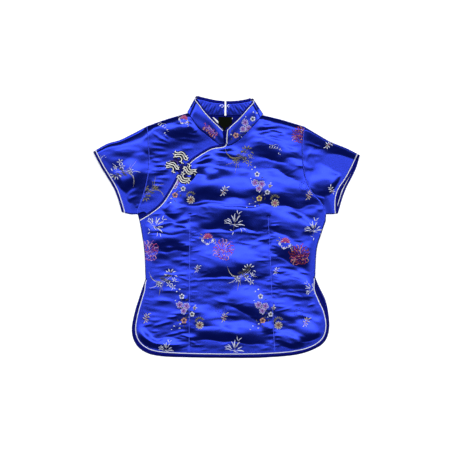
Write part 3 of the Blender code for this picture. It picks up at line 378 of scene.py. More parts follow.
PLACKET_BINDING_START = -0.0090

# Size tag: its middle line and, at shares of its length, its width
TAG_LINE = [(-0.0328, 0.2580), (-0.0270, 0.2535), (-0.0205, 0.2468), (-0.0140, 0.2420), (-0.0040, 0.2430),
            (0.0060, 0.2500), (0.0140, 0.2562)]
TAG_WIDTHS = [(0.0, 0.0008), (0.10, 0.0030), (0.25, 0.0046), (0.40, 0.0022), (0.60, 0.0024), (1.0, 0.0032)]
TAG_FACE = 0.0019
TAG_CROWN = 0.0002
TAG_COUNT = 40

# Frog
LOBE_CORD = [
    (-0.0148, 0.0131), (-0.0107, 0.0098), (-0.0066, 0.0096), (-0.0030, 0.0110), (0.0012, 0.0114),
    (0.0054, 0.0096), (0.0088, 0.0058), (0.0104, 0.0014), (0.0126, -0.0006), (0.0148, -0.0033),
    (0.0138, -0.0066), (0.0104, -0.0062), (0.0076, -0.0034), (0.0062, 0.0008), (0.0034, 0.0044),
    (-0.0004, 0.0062), (-0.0048, 0.0062), (-0.0093, 0.0054), (-0.0131, 0.0048), (-0.0141, 0.0024),
    (-0.0117, 0.0000), (-0.0076, 0.0010), (-0.0038, 0.0012), (-0.0006, -0.0006), (0.0016, -0.0038),
    (0.0014, -0.0074), (0.0002, -0.0110), (0.0021, -0.0152)]
LOBE_RADIUS = 0.0013
LOBE_PLY = {"sides": 14, "strands": 2, "lay": 0.0050, "depth": 0.35}
# Each lobe of the frog: its node, its place, its turn and its size
LOBES = [
    ("frog_lobe_top", -0.1070, 0.1648, 0, 1.00),
    ("frog_lobe_left", -0.1270, 0.1410, 6, 0.92),
    ("frog_lobe_right", -0.0866, 0.1349, 180, 0.92),
    ("frog_lobe_bottom", -0.1010, 0.1150, 180, 0.92)]
FROG_CENTRE = (-0.1060, 0.1380)
FROG_REACH = 0.026
FROG_FADE = 0.014
# The black bed under each lobe's cord, wider than the cord, so that painted shade shows between its turns
BED_RADIUS = 0.0034
BED_FLATNESS = 0.25

# The short wires at a lobe's ends, each from its root to its tip
PRONGS = [
    ((0.0112, 0.0004), (0.0158, 0.0034)),
    ((0.0130, -0.0030), (0.0184, -0.0022)),
    ((0.0122, -0.0058), (0.0168, -0.0088)),
    ((-0.0122, 0.0100), (-0.0132, 0.0150)),
    ((-0.0135, 0.0052), (-0.0190, 0.0078)),
    ((-0.0128, 0.0012), (-0.0182, -0.0012)),
    ((0.0004, -0.0092), (-0.0044, -0.0112)),
    ((0.0012, -0.0128), (0.0062, -0.0158)),
]
PRONG_ROOT = 0.0011
PRONG_TIP = 0.0006
PRONG_STEPS = 10

KNOT_PLACE = (-0.1080, 0.1348)
KNOT_RADIUS = 0.0028
LOOP_TURN = 59
LOOP_TAIL = 0.0180
LOOP_SPREAD = 0.0014
LOOP_OPENING = 24
LOOP_RADIUS = 0.0008
LOOP_PLY = {"strands": 3, "lay": 0.0040, "depth": 0.3}

# A cord on the cloth follows the highest places under it, evened out over a few steps each way, and
# sinks in by no more than a share of its radius
CORD_SETTLE = 2
CORD_SINK = 0.2
RAY_START = 0.1
RAY_PLACES = [(share, math.radians(turn)) for share in (0.0, 0.5, 1.0) for turn in range(0, 360, 45)]

# Mesh counts
CURVE_STEPS = 12
PLACKET_COLUMNS = 90
NECK_COLUMNS = 28
SHOULDER_COLUMNS = 30
SKIRT_ROWS = 104
WAIST_ROWS = 78
CHEST_ROWS = 136
GUIDE_COUNT = 400
OUTLINE_COUNT = 90
UNDERLAP_COLUMNS = 80
UNDERLAP_ROWS = 90
BACK_COLUMNS = 60
BACK_ROWS = 150
SLEEVE_AROUND = 96
SLEEVE_ALONG = 50
HEM_COUNT = 300
PLACKET_COUNT = 130
COLLAR_BACK_COUNT = 90
COLLAR_FRONT_COUNT = 60
COLLAR_ROWS = 20
COLLAR_END_COUNT = 40
COLLAR_BINDING_ROWS = 4
BINDING_ROWS = 6
FOLD_TURNS = 5
LOBE_COUNT = 260
LOOP_ROUND_COUNT = 60
LOOP_COUNT = 140
TUBE_SIDES = 10
FROG_SIDES = 8
SEAM_ROLL_SIDES = 6

# Between two columns of the front the step is partly even and partly by length
EVEN_SHARE = 0.5
# A cord's direction counts as upright where less than this share of it is level
UPRIGHT = 0.2


def length_of(line):
    return np.linalg.norm(np.diff(line, axis=0), axis=1).sum()


def walked_along(line):
    """How far along a line each of its points lies."""
    steps = np.linalg.norm(np.diff(line, axis=0), axis=1)
    return np.concatenate(([0.0], np.cumsum(steps)))


def at_shares(line, shares):
    """Points of a line at shares of its length."""
    walked = walked_along(line)
    wanted = np.asarray(shares) * walked[-1]
    return np.column_stack([np.interp(wanted, walked, line[:, axis]) for axis in range(line.shape[1])])


def resample(line, count):
    """The same line with count equal steps along its length."""
    return at_shares(line, np.linspace(0.0, 1.0, count + 1))


def smooth(points, count=None):
    """A Catmull-Rom curve through the points, in equal steps if a count is given."""
    rows = np.array(points, dtype=float)
    ends = np.vstack([2 * rows[0] - rows[1], rows, 2 * rows[-1] - rows[-2]])
    curve = []
    for before, start, end, after in zip(ends, ends[1:], ends[2:], ends[3:]):
        for step in range(CURVE_STEPS):
            t = step / CURVE_STEPS
            curve.append(0.5 * (2 * start + (end - before) * t
                                + (2 * before - 5 * start + 4 * end - after) * t ** 2
                                + (3 * start - before - 3 * end + after) * t ** 3))
    curve.append(rows[-1])
    curve = np.array(curve)
    return resample(curve, count) if count else curve


def ease(value):
    value = np.clip(value, 0.0, 1.0)
    return value * value * (3.0 - 2.0 * value)


def left_normals(line):
    along = np.gradient(line, axis=0)
    along /= np.linalg.norm(along, axis=1)[:, None]
    return np.column_stack([-along[:, 1], along[:, 0]])


def offset(line, distance):
    """The line moved to its left by a distance, which may change along it."""
    return line + left_normals(line) * np.reshape(distance, (-1, 1))


def distance_to(points, line):
    """How far each point is from a line of straight steps."""
    nearest = np.full(len(points), np.inf)
    for start, end in zip(line, line[1:]):
        span = end - start
        share = np.clip(((points - start) @ span) / max(span @ span, 1e-12), 0.0, 1.0)
        gap = points - start - share[:, None] * span
        nearest = np.minimum(nearest, (gap ** 2).sum(axis=1))
    return np.sqrt(nearest)


def cut_at(line, corner):
    """The line's two stretches, before and after the point nearest to a corner."""
    index = int(np.argmin(np.linalg.norm(line - np.array(corner), axis=1)))
    return line[:index + 1], line[index:]


def hem_taper(line):
    """The binding is narrow where a slit opens out of the side seam, and full further along."""
    walked = walked_along(line)
    from_end = np.minimum(walked, walked[-1] - walked)
    return SLIT_START_SHARE + (1.0 - SLIT_START_SHARE) * ease(from_end / SLIT_TAPER)


def shortened(line, distance):
    """The line without its last stretch."""
    return at_shares(line, np.linspace(0.0, 1.0 - distance / length_of(line), len(line)))


def with_height(line, height):
    """The line's (x, y) points with one height for all of them or one for each."""
    return np.column_stack([line, np.broadcast_to(height, len(line))])


def hem_line(points, count, beyond_binding):
    """A line beside a hem: the binding's width, tapered at the slits, and a distance past it."""
    line = smooth(points, count)
    return offset(line, BINDING_WIDTH * hem_taper(line) + beyond_binding)


def garment_outline():
    """The blouse's own outline, closed across the neck between the two shoulder seams."""
    return np.vstack([
        smooth(FRONT_HEM, OUTLINE_COUNT), smooth(SIDE_SEAM[RIGHT])[::-1], smooth(UNDERARM[RIGHT]),
        smooth(SLEEVE_HEM[RIGHT]), smooth(SLEEVE_TOP[RIGHT])[::-1], smooth(SHOULDER[RIGHT]),
        smooth(SHOULDER[LEFT])[::-1], smooth(SLEEVE_TOP[LEFT]), smooth(SLEEVE_HEM[LEFT])[::-1],
        smooth(UNDERARM[LEFT])[::-1], smooth(SIDE_SEAM[LEFT])])


OUTLINE = garment_outline()
TOP_EDGE = np.vstack([smooth(SLEEVE_TOP[LEFT])[::-1], smooth(SHOULDER[LEFT]), smooth(SHOULDER[RIGHT])[::-1],
                      smooth(SLEEVE_TOP[RIGHT])])
OPEN_EDGES = [smooth(edge) for edge in (FRONT_HEM, SLEEVE_HEM[LEFT], SLEEVE_HEM[RIGHT])]
PLACKET_LINE = smooth(PLACKET)
NECK_LINE = np.vstack([smooth(NECK[LEFT])[::-1], smooth(NECK[RIGHT])])


def fold_relief(points):
    """The large folds' height at each point: round over a crest, sharp in the valley below it, and a small
    lip past the valley."""
    relief = np.zeros(len(points))
    for row in FOLDS:
        fold = Fold(*row)
        turn = math.radians(fold.turn)
        delta = points - np.array((fold.x, fold.y))
        along = (delta[:, 0] * math.cos(turn) + delta[:, 1] * math.sin(turn)) / fold.reach
        across = delta[:, 1] * math.cos(turn) - delta[:, 0] * math.sin(turn)
        across = across + fold.hang * along ** 2
        width = np.where(across > 0.0, fold.above, fold.below)
        slope = np.cos(0.5 * math.pi * np.clip(np.abs(across) / width, 0.0, 1.0))
        roundness = np.where(across > 0.0, FOLD_ROUNDNESS, VALLEY_ROUNDNESS)
        run = np.cos(0.5 * math.pi * np.clip(along, -1.0, 1.0))
        relief += fold.height * slope ** roundness * run ** FOLD_END_ROUNDNESS
        beyond = -across - fold.below - LIP_NEAR
        lip = np.exp(-(beyond / np.where(beyond < 0.0, LIP_NEAR, LIP_FAR)) ** 2)
        relief += LIP_SHARE * fold.height * lip * run
    return relief


def pucker_rows():
    """Short wrinkles that start at the darts, on both sides, with the darts' own stitching to hold them."""
    random = np.random.RandomState(WRINKLE_SEED)
    rows = []
    for start, end in np.array(DARTS):
        for share in np.linspace(*PUCKER_SHARES, PUCKER_COUNT):
            x, y = start + (share + random.uniform(-PUCKER_JITTER, PUCKER_JITTER)) * (end - start)
            side = random.choice((LEFT, RIGHT))
            reach = random.uniform(*PUCKER_REACH)
            tilt = random.uniform(*PUCKER_TILT)
            rows.append((x + side * PUCKER_START, y, x + side * reach, y + reach * tilt,
                         random.uniform(-PUCKER_BOW, PUCKER_BOW), random.uniform(*PUCKER_WIDTH),
                         random.uniform(*PUCKER_HEIGHT)))
    return rows


def chance_wrinkles():
    """Many small wrinkles over the front and the sleeves, most of them nearly level."""
    random = np.random.RandomState(WRINKLE_SEED + 1)
    rows = []
    for _ in range(CHANCE_COUNT):
        x, y = random.uniform(*CHANCE_X), random.uniform(*CHANCE_Y)
        tilt = math.radians(random.normal(*CHANCE_TILT))
        half = 0.5 * random.uniform(*CHANCE_REACH)
        rows.append((x - half * math.cos(tilt), y - half * math.sin(tilt),
                     x + half * math.cos(tilt), y + half * math.sin(tilt),
                     random.uniform(-CHANCE_BOW, CHANCE_BOW), random.uniform(*CHANCE_WIDTH),
                     random.uniform(*CHANCE_HEIGHT)))
    return rows


ALL_WRINKLES = WRINKLES + pucker_rows() + chance_wrinkles()


def soft_waves(seed, count, across, along, size):
    """Long waves in many directions, most of them across the cloth: their turns per metre, phases and
    heights. The size is the slope or, for a warp, the height that they add up to."""
    random = np.random.RandomState(seed)
    lengths_y = random.uniform(*across, count)
    lengths_x = random.uniform(*along, count) * random.choice((-1, 1), count)
    return 2 * math.pi / lengths_x, 2 * math.pi / lengths_y, random.uniform(0, 2 * math.pi, count), size


def wave_sum(points, waves, by_slope):
    """The waves' height at each point, the longer ones higher where the size is a slope."""
    turns_x, turns_y, phases, size = waves
    heights = size * math.sqrt(2.0 / len(phases)) / (turns_y if by_slope else 1.0)
    return (heights * np.sin(points[:, :1] * turns_x + points[:, 1:] * turns_y + phases)).sum(axis=1)


RIPPLES = soft_waves(seed=11, count=36, across=(0.012, 0.040), along=(0.040, 0.160), size=0.030)
WARP = soft_waves(seed=12, count=14, across=(0.045, 0.120), along=(0.050, 0.140), size=0.0024)


def wrinkle_relief(points):
    relief = np.zeros(len(points))
    for row in ALL_WRINKLES:
        wrinkle = Wrinkle(*row)
        start = np.array((wrinkle.x0, wrinkle.y0))
        span = np.array((wrinkle.x1, wrinkle.y1)) - start
        length = np.linalg.norm(span)
        span /= length
        reach = length + 3.0 * wrinkle.width + abs(wrinkle.bow)
        near = np.where(np.abs(points - start - 0.5 * length * span).max(axis=1) < reach)[0]
        delta = points[near] - start
        along = delta @ span / length
        across = delta[:, 1] * span[0] - delta[:, 0] * span[1]
        across = across - wrinkle.bow * (1.0 - (2.0 * along - 1.0) ** 2)
        run = np.sin(math.pi * np.clip(along, 0.0, 1.0)) ** WRINKLE_ENDS
        height = min(wrinkle.height, STEEPEST_WRINKLE * wrinkle.width)
        relief[near] += height * run * np.exp(-(across / wrinkle.width) ** 2)
    return relief


def dart_relief(points):
    relief = np.zeros(len(points))
    for ends in DARTS:
        gap = distance_to(points, np.array(ends))
        relief -= DART_DEPTH * np.exp(-(gap / DART_WIDTH) ** 2)
    return relief


def seam_relief(points):
    """The cloth dips a little into the armhole seams."""
    relief = np.zeros(len(points))
    for armhole in ARMHOLE.values():
        gap = distance_to(points, smooth(armhole, SEAM_STEPS))
        relief -= SEAM_DIP * np.exp(-(gap / SEAM_DIP_WIDTH) ** 2)
    return relief


def small_relief(points):
    return wrinkle_relief(points) + wave_sum(points, RIPPLES, by_slope=True)


def away_from_trim(points):
    """0 where the collar's seam and the frog hold the cloth calm, and 1 further away."""
    frog_gap = np.linalg.norm(points - np.array(FROG_CENTRE), axis=1)
    return ease(distance_to(points, NECK_LINE) / FOLD_FADE_SEAM) * ease((frog_gap - FROG_REACH) / FROG_FADE)


def front_height(points):
    """The upper face of the front and of the sleeves' front layers."""
    points = np.atleast_2d(points)
    inside = distance_to(points, OUTLINE)
    from_hems = np.min([distance_to(points, hem) for hem in OPEN_EDGES], axis=0)
    rise = np.minimum(inside, HEM_CALM * from_hems)
    over_edge = ease((rise - FLAT_MARGIN) / EDGE_RISE_WIDTH)
    base = EDGE_HEIGHT + (OVERLAP_HEIGHT - EDGE_HEIGHT) * over_edge
    from_placket = distance_to(points, PLACKET_LINE)
    chest = ease((rise - FLAT_MARGIN) / CHEST_MARGIN) * ease(from_placket / PLACKET_RISE_WIDTH)
    base += (CHEST_HEIGHT - OVERLAP_HEIGHT) * chest
    from_top = distance_to(points, TOP_EDGE)
    roll_x, *roll_sizes = np.array(ROLL).T
    height, width, fade = (np.interp(points[:, 0], roll_x, sizes) for sizes in roll_sizes)
    roll = np.sin(0.5 * math.pi * np.clip(from_top / width, 0.0, 1.0))
    base += height * roll * (1.0 - ease(from_top / fade))
    base -= SHOULDER_DROP * (1.0 - roll)
    free = ease((inside - FLAT_MARGIN) / FOLD_FADE_EDGE) * ease(from_placket / FOLD_FADE_SEAM)
    free *= away_from_trim(points)
    warped = points + np.column_stack([np.zeros(len(points)), wave_sum(points, WARP, by_slope=False)])
    folds = fold_relief(warped)
    calm = 1.0 / (1.0 + (folds / CALM_HEIGHT) ** 2)
    relief = folds + calm * small_relief(points) + dart_relief(points) + seam_relief(points)
    return base + free * relief


def underlap_height(points):
    """The underlap lies flat under the placket and rises to the front's height beyond it. Its small
    wrinkles begin nearer to the placket than that."""
    points = np.atleast_2d(points)
    gap = distance_to(points, PLACKET_LINE)
    over = points[:, 1] > np.interp(points[:, 0], PLACKET_LINE[::-1, 0], PLACKET_LINE[::-1, 1])
    share = np.where(over, ease((gap - PIPING_OFFSET) / UNDERLAP_RISE_WIDTH), 0.0)
    loose = np.where(over, ease((gap - PIPING_OFFSET) / UNDERLAP_LOOSE_WIDTH), 0.0) - share
    loose *= ease((distance_to(points, OUTLINE) - FLAT_MARGIN) / FOLD_FADE_EDGE) * away_from_trim(points)
    return EDGE_HEIGHT + share * (front_height(points) - EDGE_HEIGHT) + loose * small_relief(points)


def sleeve_height(points, armhole, neighbour_height):
    """A sleeve's front layer meets its neighbour at the armhole and is rounder further along."""
    points = np.atleast_2d(points)
    away = ease(distance_to(points, armhole) / SLEEVE_RISE_WIDTH)
    least = EDGE_HEIGHT + away * (SLEEVE_FOLD_HEIGHT - EDGE_HEIGHT)
    return np.maximum(neighbour_height(points), least)


def coons(bottom, top, left, right):
    """A grid of points between four lines: rows go from bottom to top."""
    rows, columns = len(left), len(bottom)
    u = np.linspace(0.0, 1.0, columns)[None, :, None]
    v = np.linspace(0.0, 1.0, rows)[:, None, None]
    ruled_v = (1 - v) * bottom[None] + v * top[None]
    ruled_u = (1 - u) * left[:, None] + u * right[:, None]
    corners = ((1 - u) * (1 - v) * bottom[0] + u * (1 - v) * bottom[-1]
               + (1 - u) * v * top[0] + u * v * top[-1])
    return ruled_v + ruled_u - corners


def lifted(plan, height):
    """A grid of (x, y) points with the height of each."""
    return np.dstack([plan, height(plan.reshape(-1, 2)).reshape(plan.shape[:2])])


def grid_shape(grid, shape=None):
    """A sheet through a grid of (x, y, z) points, its faces looking up."""
    rows, columns = grid.shape[:2]
    shape = shape or bmesh.new()
    made = bmesh.ops.create_grid(shape, x_segments=columns - 1, y_segments=rows - 1, size=0.5)["verts"]
    for vertex in made:
        column = round((vertex.co.x + 0.5) * (columns - 1))
        row = round((vertex.co.y + 0.5) * (rows - 1))
        vertex.co = Vector(grid[row, column])
    return shape


def finished(name, shape, looks):
    """The shape as a piece that rides on the only body, with its materials."""
    mesh = bpy.data.meshes.new(name)
    shape.to_mesh(mesh)
    shape.free()
    mesh.shade_smooth()
    for look in looks:
        mesh.materials.append(look)
    piece = bpy.data.objects.new(name, mesh)
    bpy.context.scene.collection.objects.link(piece)
    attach(piece, "root")
    return piece


def stand_for(piece, node):
    """Hides the solid that the piece stands in for."""
    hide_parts(node)
    return piece


def close_up(shape, ring=False):
    """Joins the edges of rolled-up skins and fills their ends, which a ring doesn't have, with the
    faces looking out."""
    bmesh.ops.remove_doubles(shape, verts=shape.verts, dist=MERGE_DISTANCE)
    if not ring:
        bmesh.ops.holes_fill(shape, edges=shape.edges)
    bmesh.ops.recalc_face_normals(shape, faces=shape.faces)


def walled(piece, thickness, inside=0):
    """Cloth with its upper face at the piece's points. The other face has its own material."""
    wall = piece.modifiers.new("wall", "SOLIDIFY")
    wall.thickness = thickness
    wall.offset = -1.0
    wall.material_offset = inside
    return piece


def add_cloth(name, grid, looks, thickness=SILK, closed=False):
    """A sheet of cloth from a grid of points; a closed one's first and last columns are one."""
    shape = grid_shape(grid)
    if closed:
        bmesh.ops.remove_doubles(shape, verts=shape.verts, dist=MERGE_DISTANCE)
    piece = finished(name, shape, looks)
    return walled(piece, thickness, len(looks) - 1)


def frames_along(path, closed=False):
    """For each point of a path: its sideways direction and its upward direction."""
    if closed:
        along = np.roll(path, -1, axis=0) - np.roll(path, 1, axis=0)
    else:
        along = np.gradient(path, axis=0)
    along /= np.linalg.norm(along, axis=1)[:, None]
    up = np.array((0.0, 0.0, 1.0))
    sideways = np.cross(along, up)
    flat = np.linalg.norm(sideways, axis=1) < UPRIGHT
    sideways[flat] = np.nan
    good = np.where(~flat)[0]
    for axis in range(3):
        sideways[:, axis] = np.interp(np.arange(len(path)), good, sideways[good, axis])
    sideways /= np.linalg.norm(sideways, axis=1)[:, None]
    above = np.cross(sideways, along)
    return sideways, above / np.linalg.norm(above, axis=1)[:, None]


def grid_area(grid):
    """The area of a sheet through a grid of (x, y, z) points."""
    crossed = np.cross(grid[1:, 1:] - grid[:-1, :-1], grid[1:, :-1] - grid[:-1, 1:])
    return 0.5 * float(np.linalg.norm(crossed, axis=2).sum())


def declare(piece, grid):
    """Works out a panel's longest row, its longest column and its area, which are not kept."""
    across = np.linalg.norm(np.diff(grid, axis=1), axis=2).sum(axis=1).max()
    along = np.linalg.norm(np.diff(grid, axis=0), axis=2).sum(axis=0).max()
    grid_area(grid)


def tube_grid(path, radius, sides=TUBE_SIDES, strands=0, lay=0.0, depth=0.0, closed=False):
    """A round cord's skin, with one radius or one for each point: strands are its plies, lay the
    length in which they go once round it."""
    sideways, above = frames_along(path, closed)
    around = np.linspace(0.0, 2 * math.pi, sides + 1)
    radii = np.reshape(radius, (-1, 1)) * np.ones((len(path), sides + 1))
    if strands:
        twist = 2 * math.pi * walked_along(path) / lay
        radii *= 1.0 - depth * (1.0 - np.abs(np.cos(0.5 * strands * (around[None] - twist[:, None]))))
    return path[:, None] + radii[:, :, None] * (np.cos(around)[None, :, None] * sideways[:, None]
                                                + np.sin(around)[None, :, None] * above[:, None])


def add_cord(name, path, radius, look, closed=False, **ply):
    """A cord along a path, with its ends filled, or a closed ring of it."""
    skin = tube_grid(path, radius, closed=closed, **ply)
    if closed:
        skin = np.concatenate([skin, skin[:1]])
    shape = grid_shape(skin)
    close_up(shape, ring=closed)
    return finished(name, shape, [look])


def ruled(first, last, rows):
    """A grid of points in straight columns from one line of (x, y, z) points to another."""
    share = np.linspace(0.0, 1.0, rows + 1)[:, None, None]
    return first[None] * (1.0 - share) + last[None] * share


def band_grid(inner, outer, crown):
    """A bound edge between two lines of (x, y, z) points, a little round across."""
    grid = ruled(outer, inner, BINDING_ROWS)
    across = np.linspace(0.0, 1.0, BINDING_ROWS + 1)[:, None]
    grid[:, :, 2] += crown * (np.sin(math.pi * across) ** BAND_ROUNDNESS - 1.0)
    return grid


# Finishes: how often a metre the weave's floats are tied down, the size of its cloudy tone, how much
# of that goes into its height, how far the roughness goes either way, how dark a wire's dark places
# are and how strong the weave's bump is
FLOAT_RATE = 120.0
CLOUD_RATE = 24.0
SLUB = 0.3
SATIN_SPREAD = 0.05
WIRE_SPREAD = 0.08
WIRE_DEEP = 0.75
WEAVE_STRENGTH = 0.6
WIRE_GRAIN = 900.0


def new_material(name):
    made = bpy.data.materials.new(name)
    made.use_nodes = True
    nodes, links = made.node_tree.nodes, made.node_tree.links
    return made, nodes, links, nodes["Principled BSDF"]


def shader_node(nodes, kind, **inputs):
    """A node with some of its inputs set, their names with _ for each space."""
    node = nodes.new("ShaderNode" + kind)
    for name, value in inputs.items():
        node.inputs[name.replace("_", " ")].default_value = value
    return node


def weave_group():
    """Satin threads: long floats along Y that are tied down in rows, as a mask and a height."""
    group = bpy.data.node_groups.new("satin_weave", "ShaderNodeTree")
    for name, kind in (("Vector", "Vector"), ("Threads", "Float"), ("Slub", "Float")):
        group.interface.new_socket(name, in_out="INPUT", socket_type="NodeSocket" + kind)
    for name in ("Height", "Cloud"):
        group.interface.new_socket(name, in_out="OUTPUT", socket_type="NodeSocketFloat")
    nodes, links = group.nodes, group.links
    start, end = nodes.new("NodeGroupInput"), nodes.new("NodeGroupOutput")
    rates = shader_node(nodes, "CombineXYZ", Y=FLOAT_RATE)
    links.new(start.outputs["Threads"], rates.inputs["X"])
    stretched = nodes.new("ShaderNodeVectorMath")
    stretched.operation = "MULTIPLY"
    links.new(start.outputs["Vector"], stretched.inputs[0])
    links.new(rates.outputs[0], stretched.inputs[1])
    threads = shader_node(nodes, "TexNoise", Scale=1.0, Detail=2.0)
    links.new(stretched.outputs[0], threads.inputs["Vector"])
    cloud = shader_node(nodes, "TexNoise", Scale=CLOUD_RATE, Detail=4.0)
    links.new(start.outputs["Vector"], cloud.inputs["Vector"])
    mixed = nodes.new("ShaderNodeMix")
    mixed.data_type = "FLOAT"
    links.new(start.outputs["Slub"], mixed.inputs["Factor"])
    links.new(threads.outputs["Fac"], mixed.inputs["A"])
    links.new(cloud.outputs["Fac"], mixed.inputs["B"])
    links.new(mixed.outputs["Result"], end.inputs["Height"])
    links.new(cloud.outputs["Fac"], end.inputs["Cloud"])
    return group


WEAVE = weave_group()


def vary(material, tone, deep, bright, wear, roughness, spread):
    """The colour goes from deep to bright by one mask, and the roughness over a spread by another."""
    nodes, links, shader = material[1:]
    colour = nodes.new("ShaderNodeMix")
    colour.data_type = "RGBA"
    colour.inputs["A"].default_value = (*deep, 1.0)
    colour.inputs["B"].default_value = (*bright, 1.0)
    links.new(tone, colour.inputs["Factor"])
    links.new(colour.outputs["Result"], shader.inputs["Base Color"])
    gloss = shader_node(nodes, "MapRange", To_Min=roughness - spread, To_Max=roughness + spread)
    links.new(wear, gloss.inputs["Value"])
    links.new(gloss.outputs["Result"], shader.inputs["Roughness"])


def silk(name, deep, bright, roughness, metallic, threads=2500.0, bump=0.00010, sheen=0.0, gloss=0.5):
    """Satin-woven thread in two depths of one colour, with its weave as a bump."""
    material = made, nodes, links, shader = new_material(name)
    place = nodes.new("ShaderNodeTexCoord")
    weave = nodes.new("ShaderNodeGroup")
    weave.node_tree = WEAVE
    weave.inputs["Threads"].default_value = threads
    weave.inputs["Slub"].default_value = SLUB
    links.new(place.outputs["Object"], weave.inputs["Vector"])
    vary(material, weave.outputs["Height"], deep, bright, weave.outputs["Cloud"], roughness, SATIN_SPREAD)
    relief = shader_node(nodes, "Bump", Distance=bump, Strength=WEAVE_STRENGTH)
    links.new(weave.outputs["Height"], relief.inputs["Height"])
    links.new(relief.outputs["Normal"], shader.inputs["Normal"])
    shader.inputs["Metallic"].default_value = metallic
    shader.inputs["Specular IOR Level"].default_value = gloss
    shader.inputs["Specular Tint"].default_value = (*[part / max(bright) for part in bright], 1.0)
    shader.inputs["Sheen Weight"].default_value = sheen
    return made


def wire_metal(name, colour, roughness):
    """Metal with a little grain in its colour and its gloss."""
    material = made, nodes, links, shader = new_material(name)
    place = nodes.new("ShaderNodeTexCoord")
    grain = shader_node(nodes, "TexNoise", Scale=WIRE_GRAIN)
    links.new(place.outputs["Object"], grain.inputs["Vector"])
    mask = grain.outputs["Fac"]
    vary(material, mask, [WIRE_DEEP * part for part in colour], colour, mask, roughness, WIRE_SPREAD)
    shader.inputs["Metallic"].default_value = 1.0
    return made


SATIN = silk("blue_satin", (0.008, 0.016, 0.23), (0.018, 0.034, 0.36), 0.22, 0.94)
# The cloth's inner face: duller than the upper face, and darkened as painted shade, since it shows only in
# shade at the neck and the slits
SHADED_REVERSE = silk("satin_reverse_shaded", (0.001, 0.002, 0.05), (0.004, 0.007, 0.14), 0.60, 0.10, gloss=0.3)
BINDING = silk("binding_satin", (0.001, 0.001, 0.012), (0.004, 0.006, 0.15), 0.34, 0.60, threads=1800.0)
PIPING = silk("white_piping", (0.56, 0.56, 0.68), (0.88, 0.88, 0.96), 0.42, 0.0, threads=1800.0, sheen=0.2)
CORD = silk("silver_cord", (0.56, 0.55, 0.50), (0.98, 0.97, 0.90), 0.34, 0.10, threads=3000.0)
# Black bed under the frog's cords: partly a dark cord under the silver one, partly painted shade in the gaps
# between its turns
CORD_BED_SHADE = silk("cord_bed_shade", (0.001, 0.001, 0.004), (0.004, 0.004, 0.016), 0.65, 0.0, threads=2600.0, gloss=0.10)
NAVY = silk("navy_cord", (0.004, 0.004, 0.05), (0.014, 0.016, 0.20), 0.40, 0.20, threads=2600.0)
# The seams' rolls are the satin itself, painted a lighter blue: a painted highlight where they catch the
# light
SEAM_ROLL_HIGHLIGHT = silk("seam_roll_highlight", (0.040, 0.065, 0.65), (0.095, 0.150, 1.0), 0.42, 0.10)
# The neck label's tape, nearly pure black: the label's own black, and painted shade where it stands for the
# shade under the collar
LABEL_TAPE_AND_SHADE = silk("black_tape", (0.001, 0.001, 0.001), (0.003, 0.004, 0.002), 0.80, 0.0, threads=1600.0,
                  gloss=0.05)
TAG_TAPE = silk("white_tape", (0.66, 0.66, 0.65), (0.86, 0.86, 0.85), 0.65, 0.0, threads=1600.0)
WIRE = wire_metal("wire_metal", (0.78, 0.78, 0.77), 0.22)

# Threads of the brocade: the deep and the bright colour of each
THREAD_COLOURS = {
    "white": ((0.34, 0.36, 0.48), (0.74, 0.74, 0.80)),
    "cream": ((0.26, 0.22, 0.18), (0.62, 0.54, 0.44)),
    "gold": ((0.12, 0.10, 0.05), (0.34, 0.30, 0.17)),
    "olive": ((0.012, 0.013, 0.015), (0.07, 0.07, 0.05)),
    "shade": ((0.006, 0.008, 0.08), (0.02, 0.025, 0.16)),
    "dusk": ((0.002, 0.002, 0.018), (0.008, 0.008, 0.06)),
    "lilac": ((0.18, 0.11, 0.38), (0.44, 0.30, 0.70)),
    "violet": ((0.09, 0.03, 0.25), (0.26, 0.12, 0.52)),
    "pink": ((0.30, 0.12, 0.24), (0.66, 0.36, 0.52)),
    "rose": ((0.17, 0.02, 0.09), (0.44, 0.07, 0.20)),
    "maroon": ((0.05, 0.006, 0.012), (0.18, 0.025, 0.04)),
    "salmon": ((0.28, 0.12, 0.10), (0.60, 0.32, 0.26)),
    "orange": ((0.34, 0.10, 0.03), (0.68, 0.30, 0.11)),
    "yellow": ((0.40, 0.27, 0.06), (0.74, 0.56, 0.20)),
}
THREADS = list(THREAD_COLOURS)
THREAD_LOOKS = [silk("thread_" + name, *THREAD_COLOURS[name], 0.38, 0.15, threads=2200.0, bump=0.00006)
                for name in THREADS]


# Panels
def front_guides():
    """Lines across the front from the hem up, each with one point for each column."""
    hem = hem_line(FRONT_HEM, GUIDE_COUNT, SEAM + PIPING_RADIUS)
    slit_left, rest = cut_at(hem, HEM_CORNER[LEFT])
    bottom, slit_right = cut_at(rest, HEM_CORNER[RIGHT])
    placket = smooth(PLACKET, GUIDE_COUNT)[::-1]
    placket[0] = np.array(SIDE_SEAM[LEFT][0])
    neck = smooth(NECK[RIGHT], NECK_COLUMNS)
    placket[-1] = neck[0]
    top = np.vstack([resample(placket, PLACKET_COLUMNS), neck[1:],
                     smooth(SHOULDER[RIGHT], SHOULDER_COLUMNS)[::-1][1:]])
    walked = walked_along(top)
    shares = EVEN_SHARE * np.linspace(0.0, 1.0, len(top)) + (1.0 - EVEN_SHARE) * walked / walked[-1]
    bust = at_shares(np.array([SIDE_SEAM[LEFT][0], SIDE_SEAM[RIGHT][0]]), shares)
    slits = at_shares(np.array([slit_left[0], slit_right[-1]]), shares)
    return slit_left, slit_right, at_shares(bottom, shares), slits, bust, top


